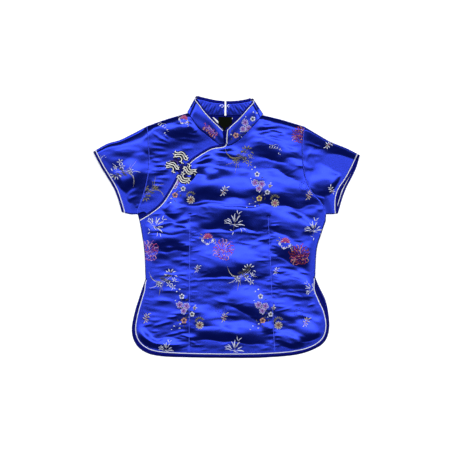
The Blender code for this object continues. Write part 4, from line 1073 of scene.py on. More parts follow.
def front_plan():
    """The front's outline as a grid: the skirt between the slits, the waist above it, the chest."""
    slit_left, slit_right, bottom, slits, bust, top = front_guides()
    skirt = coons(bottom, slits, resample(slit_left[::-1], SKIRT_ROWS), resample(slit_right, SKIRT_ROWS))
    left_side = np.vstack([slit_left[:1], smooth(SIDE_SEAM[LEFT])[::-1]])
    right_side = np.vstack([slit_right[-1:], smooth(SIDE_SEAM[RIGHT])[::-1]])
    waist = coons(slits, bust, resample(left_side, WAIST_ROWS), resample(right_side, WAIST_ROWS))
    armhole = np.vstack([np.array([SIDE_SEAM[RIGHT][0]]), smooth(ARMHOLE[RIGHT])])
    chest = coons(bust, top, resample(np.array([bust[0], top[0]]), CHEST_ROWS), resample(armhole, CHEST_ROWS))
    return np.vstack([skirt, waist[1:], chest[1:]])


def add_front():
    grid = lifted(front_plan(), front_height)
    piece = add_cloth("front", grid, [SATIN, SHADED_REVERSE])
    stand_for(piece, "front_main")
    return piece, grid


def add_underlap():
    edge = smooth(UNDERLAP_EDGE, UNDERLAP_COLUMNS)
    armhole = smooth(ARMHOLE[LEFT], UNDERLAP_ROWS)
    armhole[0] = edge[0]
    neck = smooth([UNDERLAP_EDGE[-1]] + NECK[LEFT], UNDERLAP_ROWS)
    plan = coons(edge, smooth(SHOULDER[LEFT], UNDERLAP_COLUMNS), armhole, neck)
    grid = lifted(plan, underlap_height)
    piece = add_cloth("shoulder_underlap", grid, [SATIN, SHADED_REVERSE])
    stand_for(piece, "front_underlap")
    return piece, grid


def back_plan(side):
    """Half of the back, from the centre seam outwards: rows go from the hem to the shoulder."""
    seam = CENTRE_BACK + side * SEAM / 2
    hem = hem_line(BACK_HEM, GUIDE_COUNT, SEAM + BACK_PIPING_RADIUS)
    bottom, slit = cut_at(hem[side * (hem[:, 0] - seam) > 0.0][::side], HEM_CORNER[side])
    neck = smooth(BACK_NECK, GUIDE_COUNT)
    neck = neck[side * (neck[:, 0] - seam) > 0.0][::-side]
    bottom = np.vstack([[seam, bottom[0, 1]], bottom])
    edge = np.vstack([slit, smooth(SIDE_SEAM[side])[::-1], smooth(ARMHOLE[side])])
    top = np.vstack([smooth(SHOULDER[side]), neck[1:], [seam, neck[-1, 1]]])[::-1]
    centre = np.array([bottom[0], top[0]])
    return coons(resample(bottom, BACK_COLUMNS), resample(top, BACK_COLUMNS), resample(centre, BACK_ROWS),
                 resample(edge, BACK_ROWS))


def add_backs():
    made = []
    for side, name in SIDE_NAMES.items():
        node = "back_" + name
        grid = lifted(back_plan(side), lambda points: np.full(len(points), BACK_FACE + SILK))[:, ::side]
        piece = add_cloth(node + "_cloth", grid, [SHADED_REVERSE, SATIN])
        stand_for(piece, node)
        made.append((piece, grid))
    return made


def flat_ring(front, back, front_z, back_z, count):
    """A closed ring round a flat tube, up its front layer and down its back layer, with its points
    closer together near the two folded edges."""
    inset = FOLD_INSET / length_of(front)
    even = np.linspace(0.0, 1.0, count + 1)
    crowded = even - RING_CROWDING * np.sin(2 * math.pi * even)
    shares = inset + (1.0 - 2 * inset) * crowded
    up = at_shares(front, shares)
    down = at_shares(back, shares)[::-1]
    up_z = np.broadcast_to(front_z(up), len(up))
    down_z = np.full(len(down), back_z)
    angles = np.radians(np.linspace(-90, 90, FOLD_TURNS + 2)[1:-1])

    def half_round(leave, leave_z, meet, meet_z, tip):
        middle, radius = (leave_z + meet_z) / 2, (meet_z - leave_z) / 2
        base = (leave + meet) / 2
        return [(*(base + (tip - base) * math.cos(angle)), middle + radius * math.sin(angle))
                for angle in angles]

    shoulder = half_round(up[-1], up_z[-1], down[0], down_z[0], front[-1])
    underarm = half_round(down[-1], down_z[-1], up[0], up_z[0], front[0])
    return np.vstack([np.column_stack([up, up_z]), shoulder, np.column_stack([down, down_z]), underarm])


def closed_rings(rings, side):
    """Rings with their first point repeated, turned so that the faces look out on either side."""
    return np.concatenate([rings, rings[:, :1]], axis=1)[:, ::-side]


def add_sleeve(side):
    node = "sleeve_" + SIDE_NAMES[side]
    hems = (SLEEVE_HEM[side], SLEEVE_HEM[side] if side == LEFT else SLEEVE_BACK_HEM)
    start = smooth(ARMHOLE[side])
    top_edge, under_edge = smooth(SLEEVE_TOP[side]), smooth(UNDERARM[side])

    def sleeve_front(points):
        return sleeve_height(points, start, underlap_height if side == LEFT else front_height)

    def hem_at(hem, distance):
        line = offset(smooth(hem), side * distance)
        line[0] = shortened(under_edge, distance)[-1]
        line[-1] = shortened(top_edge, distance)[-1]
        return line

    walls = []
    for hem in hems:
        end = hem_at(hem, PIPING_OFFSET)
        walls.append(coons(resample(start, SLEEVE_AROUND), resample(end, SLEEVE_AROUND),
                           resample(shortened(under_edge, PIPING_OFFSET), SLEEVE_ALONG),
                           resample(shortened(top_edge, PIPING_OFFSET), SLEEVE_ALONG)))
    rings = np.array([flat_ring(front, back, sleeve_front, BACK_FACE, SLEEVE_AROUND)
                      for front, back in zip(*walls)])
    piece = add_cloth(node + "_cloth", closed_rings(rings, side), [SATIN, SHADED_REVERSE], closed=True)
    stand_for(piece, node)

    front, back = (hem_at(hem, PIPING_OFFSET) for hem in hems)
    ring = flat_ring(front, back, lambda points: sleeve_front(points) - CLOTH + PIPING_RADIUS,
                     PIPING_RADIUS, SLEEVE_AROUND)
    radius = np.full(len(ring), PIPING_RADIUS)
    if side == RIGHT:
        on_back = slice(len(ring) // 2, len(ring) // 2 + SLEEVE_AROUND + 1)
        shown = np.exp(-((ring[on_back, 1] - BACK_PIPING_SHOWN_Y) / BACK_PIPING_SHOWN_REACH) ** 2)
        radius[on_back] = BACK_PIPING_LEAST + (PIPING_RADIUS - BACK_PIPING_LEAST) * shown
    piping = add_cord(node + "_piping_cord", ring, radius, PIPING, closed=True)
    stand_for(piping, node + "_piping")
    edges = []
    for distance in np.linspace(BINDING_WIDTH, 0.0, BINDING_ROWS + 1):
        front, back = (hem_at(hem, distance) for hem in hems)
        edges.append(flat_ring(front, back, sleeve_front, 0.0, SLEEVE_AROUND))
    binding = add_cloth(node + "_bias_binding", closed_rings(np.array(edges), side), [BINDING, BINDING],
                        thickness=SLEEVE_BINDING_WALL, closed=True)
    stand_for(binding, node + "_binding")
    brocade = add_brocade(node, piece)
    declare(piece, closed_rings(rings, side))
    return piece


def folded(back, front, tip, front_z, turns):
    """A line over both layers of a flat fold, from z = 0 round the fold's tip to the front layer."""
    base, lift = (back[-1] + front[0]) / 2, front_z[0] / 2
    turned_round = base + np.outer(np.cos(turns), np.array(tip) - base)
    return np.vstack([with_height(back, 0.0), np.column_stack([turned_round, lift + lift * np.sin(turns)]),
                      np.column_stack([front, front_z])])


def collar_lines(side):
    """The seam and the upper edge of half of the collar, both from the centre back."""
    neck = smooth(BACK_NECK, GUIDE_COUNT)[::side]
    back_seam = neck[side * (neck[:, 0] - CENTRE_BACK) > SLIT_HALF_GAP]
    front_seam, tips = smooth(COLLAR_SEAM[side]), COLLAR_FOLD[side]
    back_top, front_top = smooth(COLLAR_BACK_TOP[side]), smooth(COLLAR_FRONT_TOP[side])
    back_seam = shortened(back_seam, FOLD_INSET)
    front_seam = resample(shortened(front_seam, FOLD_INSET)[::-1], COLLAR_FRONT_COUNT)
    front_top = resample(front_top, COLLAR_FRONT_COUNT)
    seam_z = np.maximum(front_height(front_seam) + COLLAR_SEAM_LIFT, COLLAR_FOLD_HEIGHT)
    from_fold = np.linalg.norm(front_seam - front_seam[0], axis=1) / COLLAR_FOLD_ROLL_WIDTH
    fold_drop = COLLAR_FOLD_ROLL * (1.0 - np.sin(0.5 * math.pi * np.clip(from_fold, 0.0, 1.0)))
    risen = ease(np.linspace(0.0, 2.0, COLLAR_FRONT_COUNT + 1))
    top_z = seam_z + COLLAR_RISE * (COLLAR_START_RISE + (1.0 - COLLAR_START_RISE) * risen) - fold_drop
    seam_z = seam_z - fold_drop
    turns = np.radians(COLLAR_FOLD_TURNS)
    return (folded(resample(back_seam, COLLAR_BACK_COUNT), front_seam, tips[0], seam_z, turns),
            folded(resample(back_top, COLLAR_BACK_COUNT), front_top, tips[1], top_z, turns))


def collar_wall(seam, top, rise):
    """The standing cloth from the seam to the upper edge and on to the piping: a little round, with
    small waves. Behind the fold it lies on the table and rises towards its upper edge."""
    wall = ruled(seam, top, COLLAR_ROWS)
    share = np.linspace(0.0, 1.0, COLLAR_ROWS + 1)[:, None]
    bulge = np.sin(math.pi * share)
    walked = np.linalg.norm(top - top[0], axis=1)[None]
    waves = sum(np.sin(2 * math.pi * (walked / length + slant * share))
                for length, slant in zip(COLLAR_WAVE_LENGTHS, COLLAR_WAVE_SLANTS)) / len(COLLAR_WAVE_LENGTHS)
    columns_on = np.arange(len(top)) - COLLAR_BACK_COUNT
    settled = 1.0 - ease(1.0 + columns_on / COLLAR_SETTLE_COUNT)
    wall[:, :, 2] += settled * (COLLAR_WAVE * bulge * (1.0 + waves) + COLLAR_BACK_RISE * share)
    in_front = slice(-COLLAR_FRONT_COUNT, None)
    front_wave = np.sin(2 * math.pi * (walked / COLLAR_FRONT_WAVE_LENGTH + share))[:, in_front]
    wall[:, in_front, 2] += bulge * (COLLAR_BULGE + COLLAR_FRONT_WAVE * front_wave)
    wall[-1] += rise * COLLAR_WALL_REACH * COLLAR_TRIM_GAP
    return wall


def collar_trim(side, seam, top, rise):
    """The piping's middle line and radius, and the binding's two edges. Behind, the binding covers
    the piping. On the right both run on down the collar's front end."""
    out = np.cross(np.gradient(top, axis=0), rise)
    out *= -side / np.linalg.norm(out, axis=1)[:, None]
    fold_columns = len(top) - COLLAR_BACK_COUNT - COLLAR_FRONT_COUNT
    hidden = np.concatenate([np.ones(COLLAR_BACK_COUNT), np.linspace(1.0, 0.0, fold_columns),
                             np.zeros(COLLAR_FRONT_COUNT)])[:, None]
    away = np.full((len(top), 1), COLLAR_TRIM_GAP)
    away[COLLAR_BACK_COUNT:-COLLAR_FRONT_COUNT] += COLLAR_FOLD_EASE
    piping = top + rise * away - out * CLOTH / 2
    inner = top + rise * ((1.0 - hidden) * COLLAR_BINDING_START * away + hidden * COLLAR_BACK_EDGE)
    outer = top + rise * (2 * away + COLLAR_BINDING)
    if side == RIGHT:
        end = smooth(COLLAR_FRONT_END, COLLAR_END_COUNT)
        drop = np.linspace(top[-1, 2], seam[-1, 2], len(end))
        beside = np.vstack([piping[-1:, :2], end])
        piping = np.vstack([piping, with_height(end, drop - CLOTH / 2)])
        start = offset(beside, -COLLAR_END_START * COLLAR_TRIM_GAP)[1:]
        inner = np.vstack([inner, with_height(start, drop)])
        far = offset(beside, -COLLAR_TRIM_GAP - COLLAR_BINDING)[1:]
        outer = np.vstack([outer, with_height(far, drop)])
    radius = PIPING_RADIUS * (1.0 - COLLAR_PIPING_HIDDEN * hidden[:, 0])
    radius = np.append(radius, np.full(len(piping) - len(radius), PIPING_RADIUS))
    lying = np.arange(len(piping)) < COLLAR_BACK_COUNT + 1
    piping[:, 2] = np.where(lying, radius, np.maximum(piping[:, 2], PIPING_RADIUS))
    return piping, radius, inner, outer


def add_collar(side):
    node = "collar_" + SIDE_NAMES[side]
    seam, top = collar_lines(side)
    rise = top - seam
    rise /= np.linalg.norm(rise, axis=1)[:, None]
    wall = collar_wall(seam, top, rise)
    piping, radius, inner, outer = collar_trim(side, seam, top, rise)
    bound = ruled(inner, outer, COLLAR_BINDING_ROWS)
    piece = add_cloth(node + "_cloth", wall[:, ::-side], [SATIN, SATIN], thickness=COLLAR_SILK)
    stand_for(piece, node)
    binding = add_cloth(node + "_bias_binding", bound[:, ::-side], [BINDING, BINDING], thickness=COLLAR_SILK)
    stand_for(binding, node + "_binding")
    cord = add_cord(node + "_piping_cord", piping, radius, PIPING)
    stand_for(cord, node + "_piping")
    brocade = add_brocade(node, piece)
    declare(piece, wall)


def add_size_tag():
    """The tag's loop of tape: a crescent beside the neck label and its other end past the label."""
    line = smooth(TAG_LINE, TAG_COUNT)
    width = np.interp(np.linspace(0.0, 1.0, TAG_COUNT + 1), *np.array(TAG_WIDTHS).T)
    edges = [with_height(offset(line, share * width), TAG_FACE) for share in (-0.5, 0.5)]
    tag = add_cloth("size_tag_tape", band_grid(edges[1], edges[0], TAG_CROWN), [TAG_TAPE, TAG_TAPE],
                    thickness=SILK)
    stand_for(tag, "size_tag")


def add_hems():
    """Side by side beside each hem: the binding on the outside, then the piping. The back's binding
    has slipped over its piping."""
    made = {}
    for node, points, radius, face, share in (("hem_front", FRONT_HEM, PIPING_RADIUS, EDGE_HEIGHT, 1.0),
                                              ("hem_back", BACK_HEM, BACK_PIPING_RADIUS, CLOTH,
                                               BACK_PIPING_SHARE)):
        covered = SEAM + 2 * radius if share < 1.0 else 0.0
        outer = with_height(smooth(points, HEM_COUNT), face + HEM_LEAN)
        inner = with_height(hem_line(points, HEM_COUNT, 0.5 * SEAM + covered), face - HEM_LEAN)
        binding = add_cloth(node + "_bias_binding", band_grid(inner, outer, HEM_CROWN), [BINDING, BINDING],
                            thickness=BINDING_WALL)
        stand_for(binding, node + "_binding")
        line = with_height(hem_line(points, HEM_COUNT, SEAM + radius), face - CLOTH + share * radius)
        cord = add_cord(node + "_piping_cord", line, share * radius, PIPING)
        stand_for(cord, node + "_piping")
        made[node] = [binding, cord]
    return made


def add_placket():
    """The piping along the placket, and its binding up to where the collar begins."""
    line = smooth(PLACKET, PLACKET_COUNT)
    height = front_height(line)
    middle = np.column_stack([line, height - CLOTH + PIPING_RADIUS])
    cord = add_cord("placket_piping_cord", middle, PIPING_RADIUS, PIPING)
    stand_for(cord, "placket_piping")
    bound = line[line[:, 0] < PLACKET_BINDING_START]
    height = front_height(bound)
    inner = with_height(offset(bound, -PIPING_RADIUS), height)
    outer = with_height(offset(bound, -(PIPING_RADIUS + SEAM + BINDING_WIDTH)), height)
    binding = add_cloth("placket_bias_binding", band_grid(inner, outer, PLACKET_CROWN), [BINDING, BINDING],
                        thickness=BINDING_WALL)
    stand_for(binding, "placket_binding")
    return cord, binding


def add_seam_roll(name, points, highest):
    """A seam's own small roll, where the stitches pull the cloth together, in a lighter blue than the cloth
    as a painted highlight.
    """
    line = smooth(points, SEAM_ROLL_COUNT) if len(points) > 2 else resample(np.array(points), SEAM_ROLL_COUNT)
    heights = np.array([highest(x, y, SEAM_ROLL_RADIUS) for x, y in line])
    beat = SEAM_ROLL_BEAT * np.sin(np.arange(len(line)) * SEAM_ROLL_TURN)
    roll = add_cord(name, with_height(line, heights + beat), SEAM_ROLL_RADIUS, SEAM_ROLL_HIGHLIGHT,
                    sides=SEAM_ROLL_SIDES)
    return roll


def surface_finder(pieces):
    """A function that gives the height of the highest of some pieces near a place."""
    bpy.context.view_layer.update()
    graph = bpy.context.evaluated_depsgraph_get()
    trees = [BVHTree.FromObject(piece, graph) for piece in pieces]
    down = Vector((0.0, 0.0, -1.0))

    def highest(x, y, reach):
        found = 0.0
        for away, turn in RAY_PLACES:
            start = Vector((x + reach * away * math.cos(turn), y + reach * away * math.sin(turn), RAY_START))
            for tree in trees:
                hit = tree.ray_cast(start, down)[0]
                if hit is not None:
                    found = max(found, hit.z)
        return found

    return highest


def laid_cord(line, radius, highest):
    """A cord's middle line on the cloth, without the small steps of what is under it."""
    heights = np.array([highest(x, y, radius) + radius for x, y in line])
    padded = np.pad(heights, CORD_SETTLE, mode="edge")
    steps = 2 * CORD_SETTLE + 1
    settled = np.convolve(padded, np.ones(steps) / steps, "valid")
    return np.column_stack([line, np.maximum(settled, heights - CORD_SINK * radius)])


def turned(points, degrees, middle):
    """Points about the origin, turned and then moved to a middle."""
    angle = math.radians(degrees)
    turn = np.array([(math.cos(angle), -math.sin(angle)), (math.sin(angle), math.cos(angle))])
    return points @ turn.T + np.array(middle)


def add_lobe(highest, node, x, y, turn, size):
    """A lobe of wound cord over a flat black one, which is partly a dark cord and partly painted shade
    between the turns, with short wires at its ends.
    """
    line = turned(smooth(LOBE_CORD, LOBE_COUNT) * size, turn, (x, y))
    cord = add_cord(node + "_cord", laid_cord(line, LOBE_RADIUS, highest), LOBE_RADIUS, CORD, **LOBE_PLY)
    stand_for(cord, node)
    bed = tube_grid(laid_cord(line[::2], BED_RADIUS * BED_FLATNESS, highest), BED_RADIUS, FROG_SIDES)
    bed[:, :, 2] = bed[:, :1, 2] + BED_FLATNESS * (bed[:, :, 2] - bed[:, :1, 2])
    shape = grid_shape(bed)
    close_up(shape)
    finished(node + "_shade_backing", shape, [CORD_BED_SHADE])
    shape = bmesh.new()
    for ends in PRONGS:
        prong = turned(resample(np.array(ends), PRONG_STEPS) * size, turn, (x, y))
        prong = laid_cord(prong, PRONG_ROOT, highest)
        radius = np.linspace(PRONG_ROOT, PRONG_TIP, len(prong))
        grid_shape(tube_grid(prong, radius, FROG_SIDES), shape)
    close_up(shape)
    finished(node + "_prongs", shape, [CORD])


def add_loop(highest):
    """The loop of cord round the frog's knot, with its two tails."""
    around = KNOT_RADIUS + SEAM + LOOP_RADIUS
    turns = np.radians(np.linspace(LOOP_OPENING, 360 - LOOP_OPENING, LOOP_ROUND_COUNT))
    ring = np.column_stack([np.cos(turns), np.sin(turns)]) * around
    loop = np.vstack([(LOOP_TAIL, LOOP_SPREAD), ring, (LOOP_TAIL, -LOOP_SPREAD)])
    line = turned(resample(loop, LOOP_COUNT), LOOP_TURN, KNOT_PLACE)
    cord = add_cord("frog_loop_cord", laid_cord(line, LOOP_RADIUS, highest), LOOP_RADIUS, NAVY, **LOOP_PLY)
    stand_for(cord, "frog_loop")


# The brocade's motifs. Each gives its strokes in millimetres about its own middle, as rows of
# thread, line, width and level; a stroke on a higher level lies over the ones below it
CHRYSANTHEMUM_PETALS = 60
SPRAY_PETALS = 32
SPRAY_LENGTH = 34.0
GOLDEN_TURN = 137.5


def line_stroke(thread, points, width, level=0):
    return thread, smooth(points) if len(points) > 2 else np.array(points, dtype=float), width, level


def leaf_stroke(thread, start, end, bow, width, level=0):
    """A leaf from its stalk to its tip, bent to its left by the bow."""
    start, end = np.array(start, dtype=float), np.array(end, dtype=float)
    span = end - start
    middle = (start + end) / 2 + bow * np.array((-span[1], span[0])) / max(np.linalg.norm(span), 1e-6)
    return thread, smooth([start, middle, end]), width, level


def polar(radius, degrees, middle=(0.0, 0.0)):
    angle = math.radians(degrees)
    return (middle[0] + radius * math.cos(angle), middle[1] + radius * math.sin(angle))


def polar_line(places, turn=0.0, middle=(0.0, 0.0)):
    """Points at distances and angles from a middle, all turned round it."""
    return [polar(radius, turn + degrees, middle) for radius, degrees in places]


def petal_stroke(thread, near, far, angle, bow, width, level=0, middle=(0.0, 0.0), lean=0.0):
    """A leaf that points away from a middle, from one distance to another, its tip leaning aside."""
    start, tip = polar(near, angle, middle), polar(far, angle + lean, middle)
    return leaf_stroke(thread, start, tip, bow, width, level)


def bud(thread, x, y, size):
    """A short and wide float."""
    return [leaf_stroke(thread, (x - size / 2, y - 0.3), (x + size / 2, y + 0.3), 0.4, 0.9 * size)]


def blossom(thread, x, y, radius, heart):
    """Five open petals round a dark ring and a heart."""
    strokes = [petal_stroke(thread, 0.36 * radius, radius, 90 + 72 * petal, 0.0, 0.95 * radius, middle=(x, y))
               for petal in range(5)]
    ring = polar_line([(0.34 * radius, turn) for turn in range(0, 361, 60)], middle=(x, y))
    strokes.append(line_stroke("olive", ring, 0.24 * radius, 1))
    strokes.append(leaf_stroke(heart, (x - 0.22 * radius, y), (x + 0.22 * radius, y), 0.0, 0.4 * radius, 2))
    return strokes


def cloud_blossom(threads, x, y, radius, turn, heart):
    """A larger plum blossom: parted petals in two threads with a light edge and stamens."""
    strokes = []
    for angle in range(turn, turn + 360, 72):
        for thread, lean in zip(threads, (-14, 14)):
            strokes.append(petal_stroke(thread, 0.2 * radius, 0.96 * radius, angle, 0.0, 0.46 * radius, 0,
                                        (x, y), lean))
        rim = [(share * radius, spread)
               for share, spread in ((0.55, -34), (0.95, -26), (1.04, 0), (0.95, 26), (0.55, 34))]
        strokes.append(line_stroke("white", polar_line(rim, angle, (x, y)), 1.0, 1))
        strokes.append(line_stroke(heart, [(x, y), polar(0.5 * radius, angle + 36, (x, y))], 0.8, 1))
    return strokes


def peony(look):
    """A full blossom: dark gaps, light petals in two rings and a coloured heart."""
    strokes = []
    for angle in range(10, 370, 40):
        strokes += [petal_stroke("olive", 4.0, 10.5, angle + 20, 0.4, 1.8),
                    petal_stroke(look.peony, 4.5, 12.0, angle, 0.7, 4.4, 1, lean=4),
                    line_stroke("white", polar_line(((10.0, -14), (12.2, 0), (10.0, 16)), angle), 0.9, 2)]
    for angle in range(22, 382, 60):
        strokes += [petal_stroke(look.flower, 1.5, 6.2, angle, 0.5, 2.6, 2, lean=8),
                    petal_stroke(look.peony, 2.0, 7.4, angle + 30, 0.4, 1.5, 3, lean=4)]
    return strokes + bud(look.flower, 0, 0, 3.0)


def placed_strokes(strokes, x, y, turn, size):
    """Strokes turned, made larger or smaller, and moved."""
    return [(thread, turned(size * line, turn, (x, y)), width * size, level)
            for thread, line, width, level in strokes]


def plum_branch(look):
    """Buds at the top, plum blossoms below them, and a peony at the foot."""
    strokes = [line_stroke("olive", [(-15, 44), (-8, 30), (-6, 14), (8, -4), (17, -9), (30, -18)], 1.1),
               line_stroke("olive", [(10, -6), (4, -14), (-2, -24), (-12, -34), (-25, -38)], 1.0)]
    for x, y, size in ((-12, 48, 4.4), (-19, 43, 3.6), (-2, -10, 3.2), (-11, -33, 4.0), (-12, -43, 3.6),
                       (-25, -38, 3.4), (25, 11, 3.4), (28, 5, 2.8), (-22, 22, 3.0), (-31, -46, 2.6),
                       (-20, 16, 2.4), (10, -17, 2.6)):
        strokes += bud("white", x, y, size)
    for x, y, angle in ((6, -16, 200), (22, -2, 60), (-14, -28, 120), (12, -22, 250), (-4, -36, 300),
                        (2, 22, 30)):
        strokes.append(petal_stroke("olive", 0, 7.0, angle, 0.8, 2.4, middle=(x, y)))
    for thread, x, y, radius, heart in (("white", -7, 32, 6.4, "olive"), ("white", 17, -10, 6.2, "olive"),
                                        ("cream", 23, 5, 4.2, look.flower),
                                        (look.ring, -2, -25, 7.0, look.flower)):
        strokes += blossom(thread, x, y, radius, heart)
    threads = (look.cloud, look.cloud_shade)
    strokes += cloud_blossom(threads, -12, 12, 7.4, 100, look.flower)
    strokes += cloud_blossom(threads, 4, 9, 7.6, 60, look.flower)
    strokes += cloud_blossom(threads[::-1], -3, -2, 6.8, 80, look.flower)
    strokes += placed_strokes(peony(look), 35, -36, 0, 0.80)
    for angle in range(20, 170, 24):
        strokes += [petal_stroke("olive", 5, 12, angle + 12, 0.8, 2.0, 0, (35, -27), 4),
                    petal_stroke("gold", 7, 12, angle, 0.8, 1.4, 0, (35, -27), 8)]
    return strokes


def chrysanthemum(look):
    """Narrow petals set in spirals, each of its own length and with its tip curled to one side."""
    strokes = []
    threads = (look.cloud, look.flower, look.cloud_shade, look.edge, look.cloud, look.cloud_shade,
               look.flower)
    for petal in range(CHRYSANTHEMUM_PETALS):
        turn = GOLDEN_TURN * petal
        share = (petal + 0.5) / CHRYSANTHEMUM_PETALS
        start = 14.5 * math.sqrt(share)
        reach = 6.0 + 3.6 * share + 3.2 * math.sin(2.4 * petal)
        bend = (150 if petal % 2 else -150) / (start + reach)
        level = max(3 - int(4 * share), 0)
        line = ((start, 0), (start + 0.6 * reach, 0.4 * bend), (start + reach, 1.3 * bend),
                (start + 0.92 * reach, 2.4 * bend))
        strokes.append(line_stroke(threads[petal % len(threads)], polar_line(line, turn), 1.7, level))
        if petal % 3 == 0:
            tip = ((start + 0.7 * reach, 0.7 * bend), (start + reach, 1.5 * bend))
            strokes.append(line_stroke(look.tip, polar_line(tip, turn), 1.2, level + 1))
        if petal % 4 == 1:
            gap = ((start + 1.0, 20), (start + 5.0, 24))
            strokes.append(line_stroke("shade", polar_line(gap, turn), 1.8, level))
    for petal in range(7):
        line = polar_line(((0.4, 0), (4.0, 14), (6.0, -6)), 51 * petal)
        strokes.append(line_stroke(threads[petal % 4], line, 1.7, 4))
    return strokes


def petal_spray(look):
    """A row of narrow curled petals that lean out to both sides."""
    strokes = []
    threads = (look.cloud_shade, look.flower, look.edge, look.cloud)
    for petal in range(SPRAY_PETALS):
        x = SPRAY_LENGTH * (petal / (SPRAY_PETALS - 1) - 0.5)
        side = 1 if petal % 2 else -1
        reach = 7.0 + 2.4 * math.sin(2.3 * petal)
        turn = 90 * side + 40 * math.sin(1.7 * petal)
        line = [(x - 1.5, -0.8 * side),
                *polar_line(((0.6 * reach, -14), (reach, 0), (0.85 * reach, 34 * side)), turn, (x, 0))]
        strokes.append(line_stroke(threads[petal % len(threads)], line, 1.6, petal % 3))
        if petal % 3 == 0:
            tip = polar_line(((0.7 * reach, -8), (reach, 4)), turn, (x, 0))
            strokes.append(line_stroke(look.tip, tip, 1.1, 3))
    return strokes


def two_tone_blossom(look):
    """Round pale petals below, outlined in white, and rose ones above."""
    strokes = []
    for x, y, turn in ((-8.5, -4, 200), (-1, -10, 265), (7.5, -5, 330)):
        strokes += [petal_stroke(thread, 1.2, 5.7, turn, 0.0, 3.6, 0, (x, y), lean)
                    for thread, lean in (("lilac", -34), ("white", 0), ("white", 34))]
        rim = polar_line([(6.0, spread) for spread in (-110, -60, 0, 60, 110)], turn, (x, y))
        strokes.append(line_stroke("white", rim, 1.5, 1))
    for angle in range(5, 201, 28):
        strokes += [petal_stroke(look.flower, 2.0, 12.0, angle, 0.6, 3.6),
                    petal_stroke(look.edge, 6, 12.5, angle + 14, 0.4, 1.1, 1)]
    for x, y, angle in ((-12, 7, 150), (-15, 2, 190), (13, -2, 320), (16, -7, 300)):
        strokes.append(petal_stroke("gold", 0, 7.0, angle, 0.8, 2.2, middle=(x, y)))
    for x, y in ((9, 1), (-7, 3), (15, -12), (19, -16)):
        strokes += bud("white", x, y, 3.0)
    return strokes + bud(look.ring, 0, -1, 3.6)


def bamboo(look):
    """Lance-shaped leaves in a fan above one joint, and a few small ones below it."""
    leaves = (((-6, 1), (-22, 9), -1.8, 2.4), ((-9, 5), (-17, 13), -1.0, 2.0), ((-2, 5), (-8, 20), -1.4, 2.3),
              ((1, 4), (1, 24), 1.2, 2.7), ((5, 6), (13, 19), 1.6, 2.3), ((7, 0), (19, 7), 1.0, 2.2),
              ((6, -3), (24, -5), 1.8, 2.8), ((-8, -1), (-24, 1), -1.4, 2.2), ((9, 22), (6, 33), 1.0, 2.0),
              ((10, 22), (18, 29), 0.8, 1.7), ((-3, -2), (9, -7), -1.2, 2.0), ((-18, 4), (-24, 8), 0.6, 1.6),
              ((-3, -19), (-6, -27), 0.4, 1.8), ((-5, -17), (-11, -14), 0.4, 1.6),
              ((14, -11), (17, -21), 0.6, 1.6), ((19, -10), (27, -17), 0.6, 1.6))
    strokes = [leaf_stroke(look.light, *leaf) for leaf in leaves]
    strokes.append(line_stroke("gold", [(10, 22), (5, 10), (0, 1), (-3, -17)], 0.8))
    strokes.append(line_stroke(look.light, [(-12, -3), (2, -2), (16, -4)], 1.0))
    return strokes + [leaf_stroke("olive", (x, y), (x + 4, y - 2), 0.4, 1.6)
                      for x, y in ((-14, 5), (-20, 5), (-10, 10), (12, 1), (1, 12))]


def orchid_arc(look):
    """A long branch that sags, with dark needles, star blossoms and thin leaves that hang from it."""
    stems = (("gold", [(-30, 15), (-25, 1), (-13, -7), (2, -6), (14, 2), (22, 12)], 1.5),
             (look.light, [(-27, 8), (-20, -5), (-8, -10), (4, -9), (16, -1), (25, 8)], 1.1),
             (look.light, [(-8, -12), (-16, -20), (-29, -24)], 1.1),
             ("gold", [(-6, -12), (-4, -26), (-7, -43)], 1.2), ("gold", [(5, -11), (0, -20), (2, -32)], 0.9),
             (look.light, [(22, 4), (30, -6), (40, -9)], 1.0))
    strokes = [line_stroke(*stem) for stem in stems]
    for x, y, first, last in ((13, 3, 20, 170), (-6, -8, 200, 340), (14, -3, 190, 350), (2, -5, 20, 160),
                              (22, 10, 60, 150)):
        strokes += [petal_stroke("olive", 2, 10, angle, 0.4, 1.3, 0, (x, y))
                    for angle in range(first, last, 18)]
    for x, y, reach, turn in ((-6, -15, 8.0, 20), (17, -14, 8.0, 0), (26, -21, 8.0, 30), (29, -4, 6.0, 10)):
        strokes += [petal_stroke(look.light, 1.0, reach, angle, 0.6, 2.0, 1, (x, y))
                    for angle in range(turn, turn + 360, 72)]
    for x, y, angle in ((16, 14, 150), (19, 15, 110), (23, 15, 60), (26, 13, 20), (13, 8, 170), (30, 6, 330)):
        strokes.append(petal_stroke(look.light, 0, 7.5, angle, 1.2, 2.4, 1, (x, y)))
    return strokes


def sprig(look):
    strokes = [line_stroke("gold", [(-5, -10), (-1, -1), (7, 9)], 1.1)]
    for start, end in (((-1, -1), (-8, 3)), ((1, 1), (-3, 10)), ((2, 2), (10, 0)), ((-2, -3), (5, -7)),
                       ((5, 6), (14, 10)), ((-4, -7), (-9, -12)), ((3, 4), (2, 13)), ((-3, -6), (1, -12))):
        strokes.append(leaf_stroke(look.light, start, end, 0.8, 2.4))
    for start, end in (((0, -4), (6, -3)), ((-5, -3), (-9, -2)), ((4, 2), (9, 5))):
        strokes.append(leaf_stroke("olive", start, end, 0.5, 2.0))
    return strokes + bud(look.flower, 1, 0, 3.6) + bud(look.ring, -3, -5, 2.6)


def shadow_blossom(look):
    """A blossom in the ground's own colour, only a little darker, whatever the look."""
    strokes = []
    for ring, reach in ((10.0, 12.0), (6.0, 7.5)):
        for petal in range(9):
            rim = polar_line(((ring, -16), (reach, 0), (ring, 16)), 40.0 * petal + 4 * ring)
            strokes.append(line_stroke("shade", rim, 1.3))
    strokes.append(line_stroke("shade", [(4, -12), (9, -20), (12, -26)], 1.2))
    return strokes


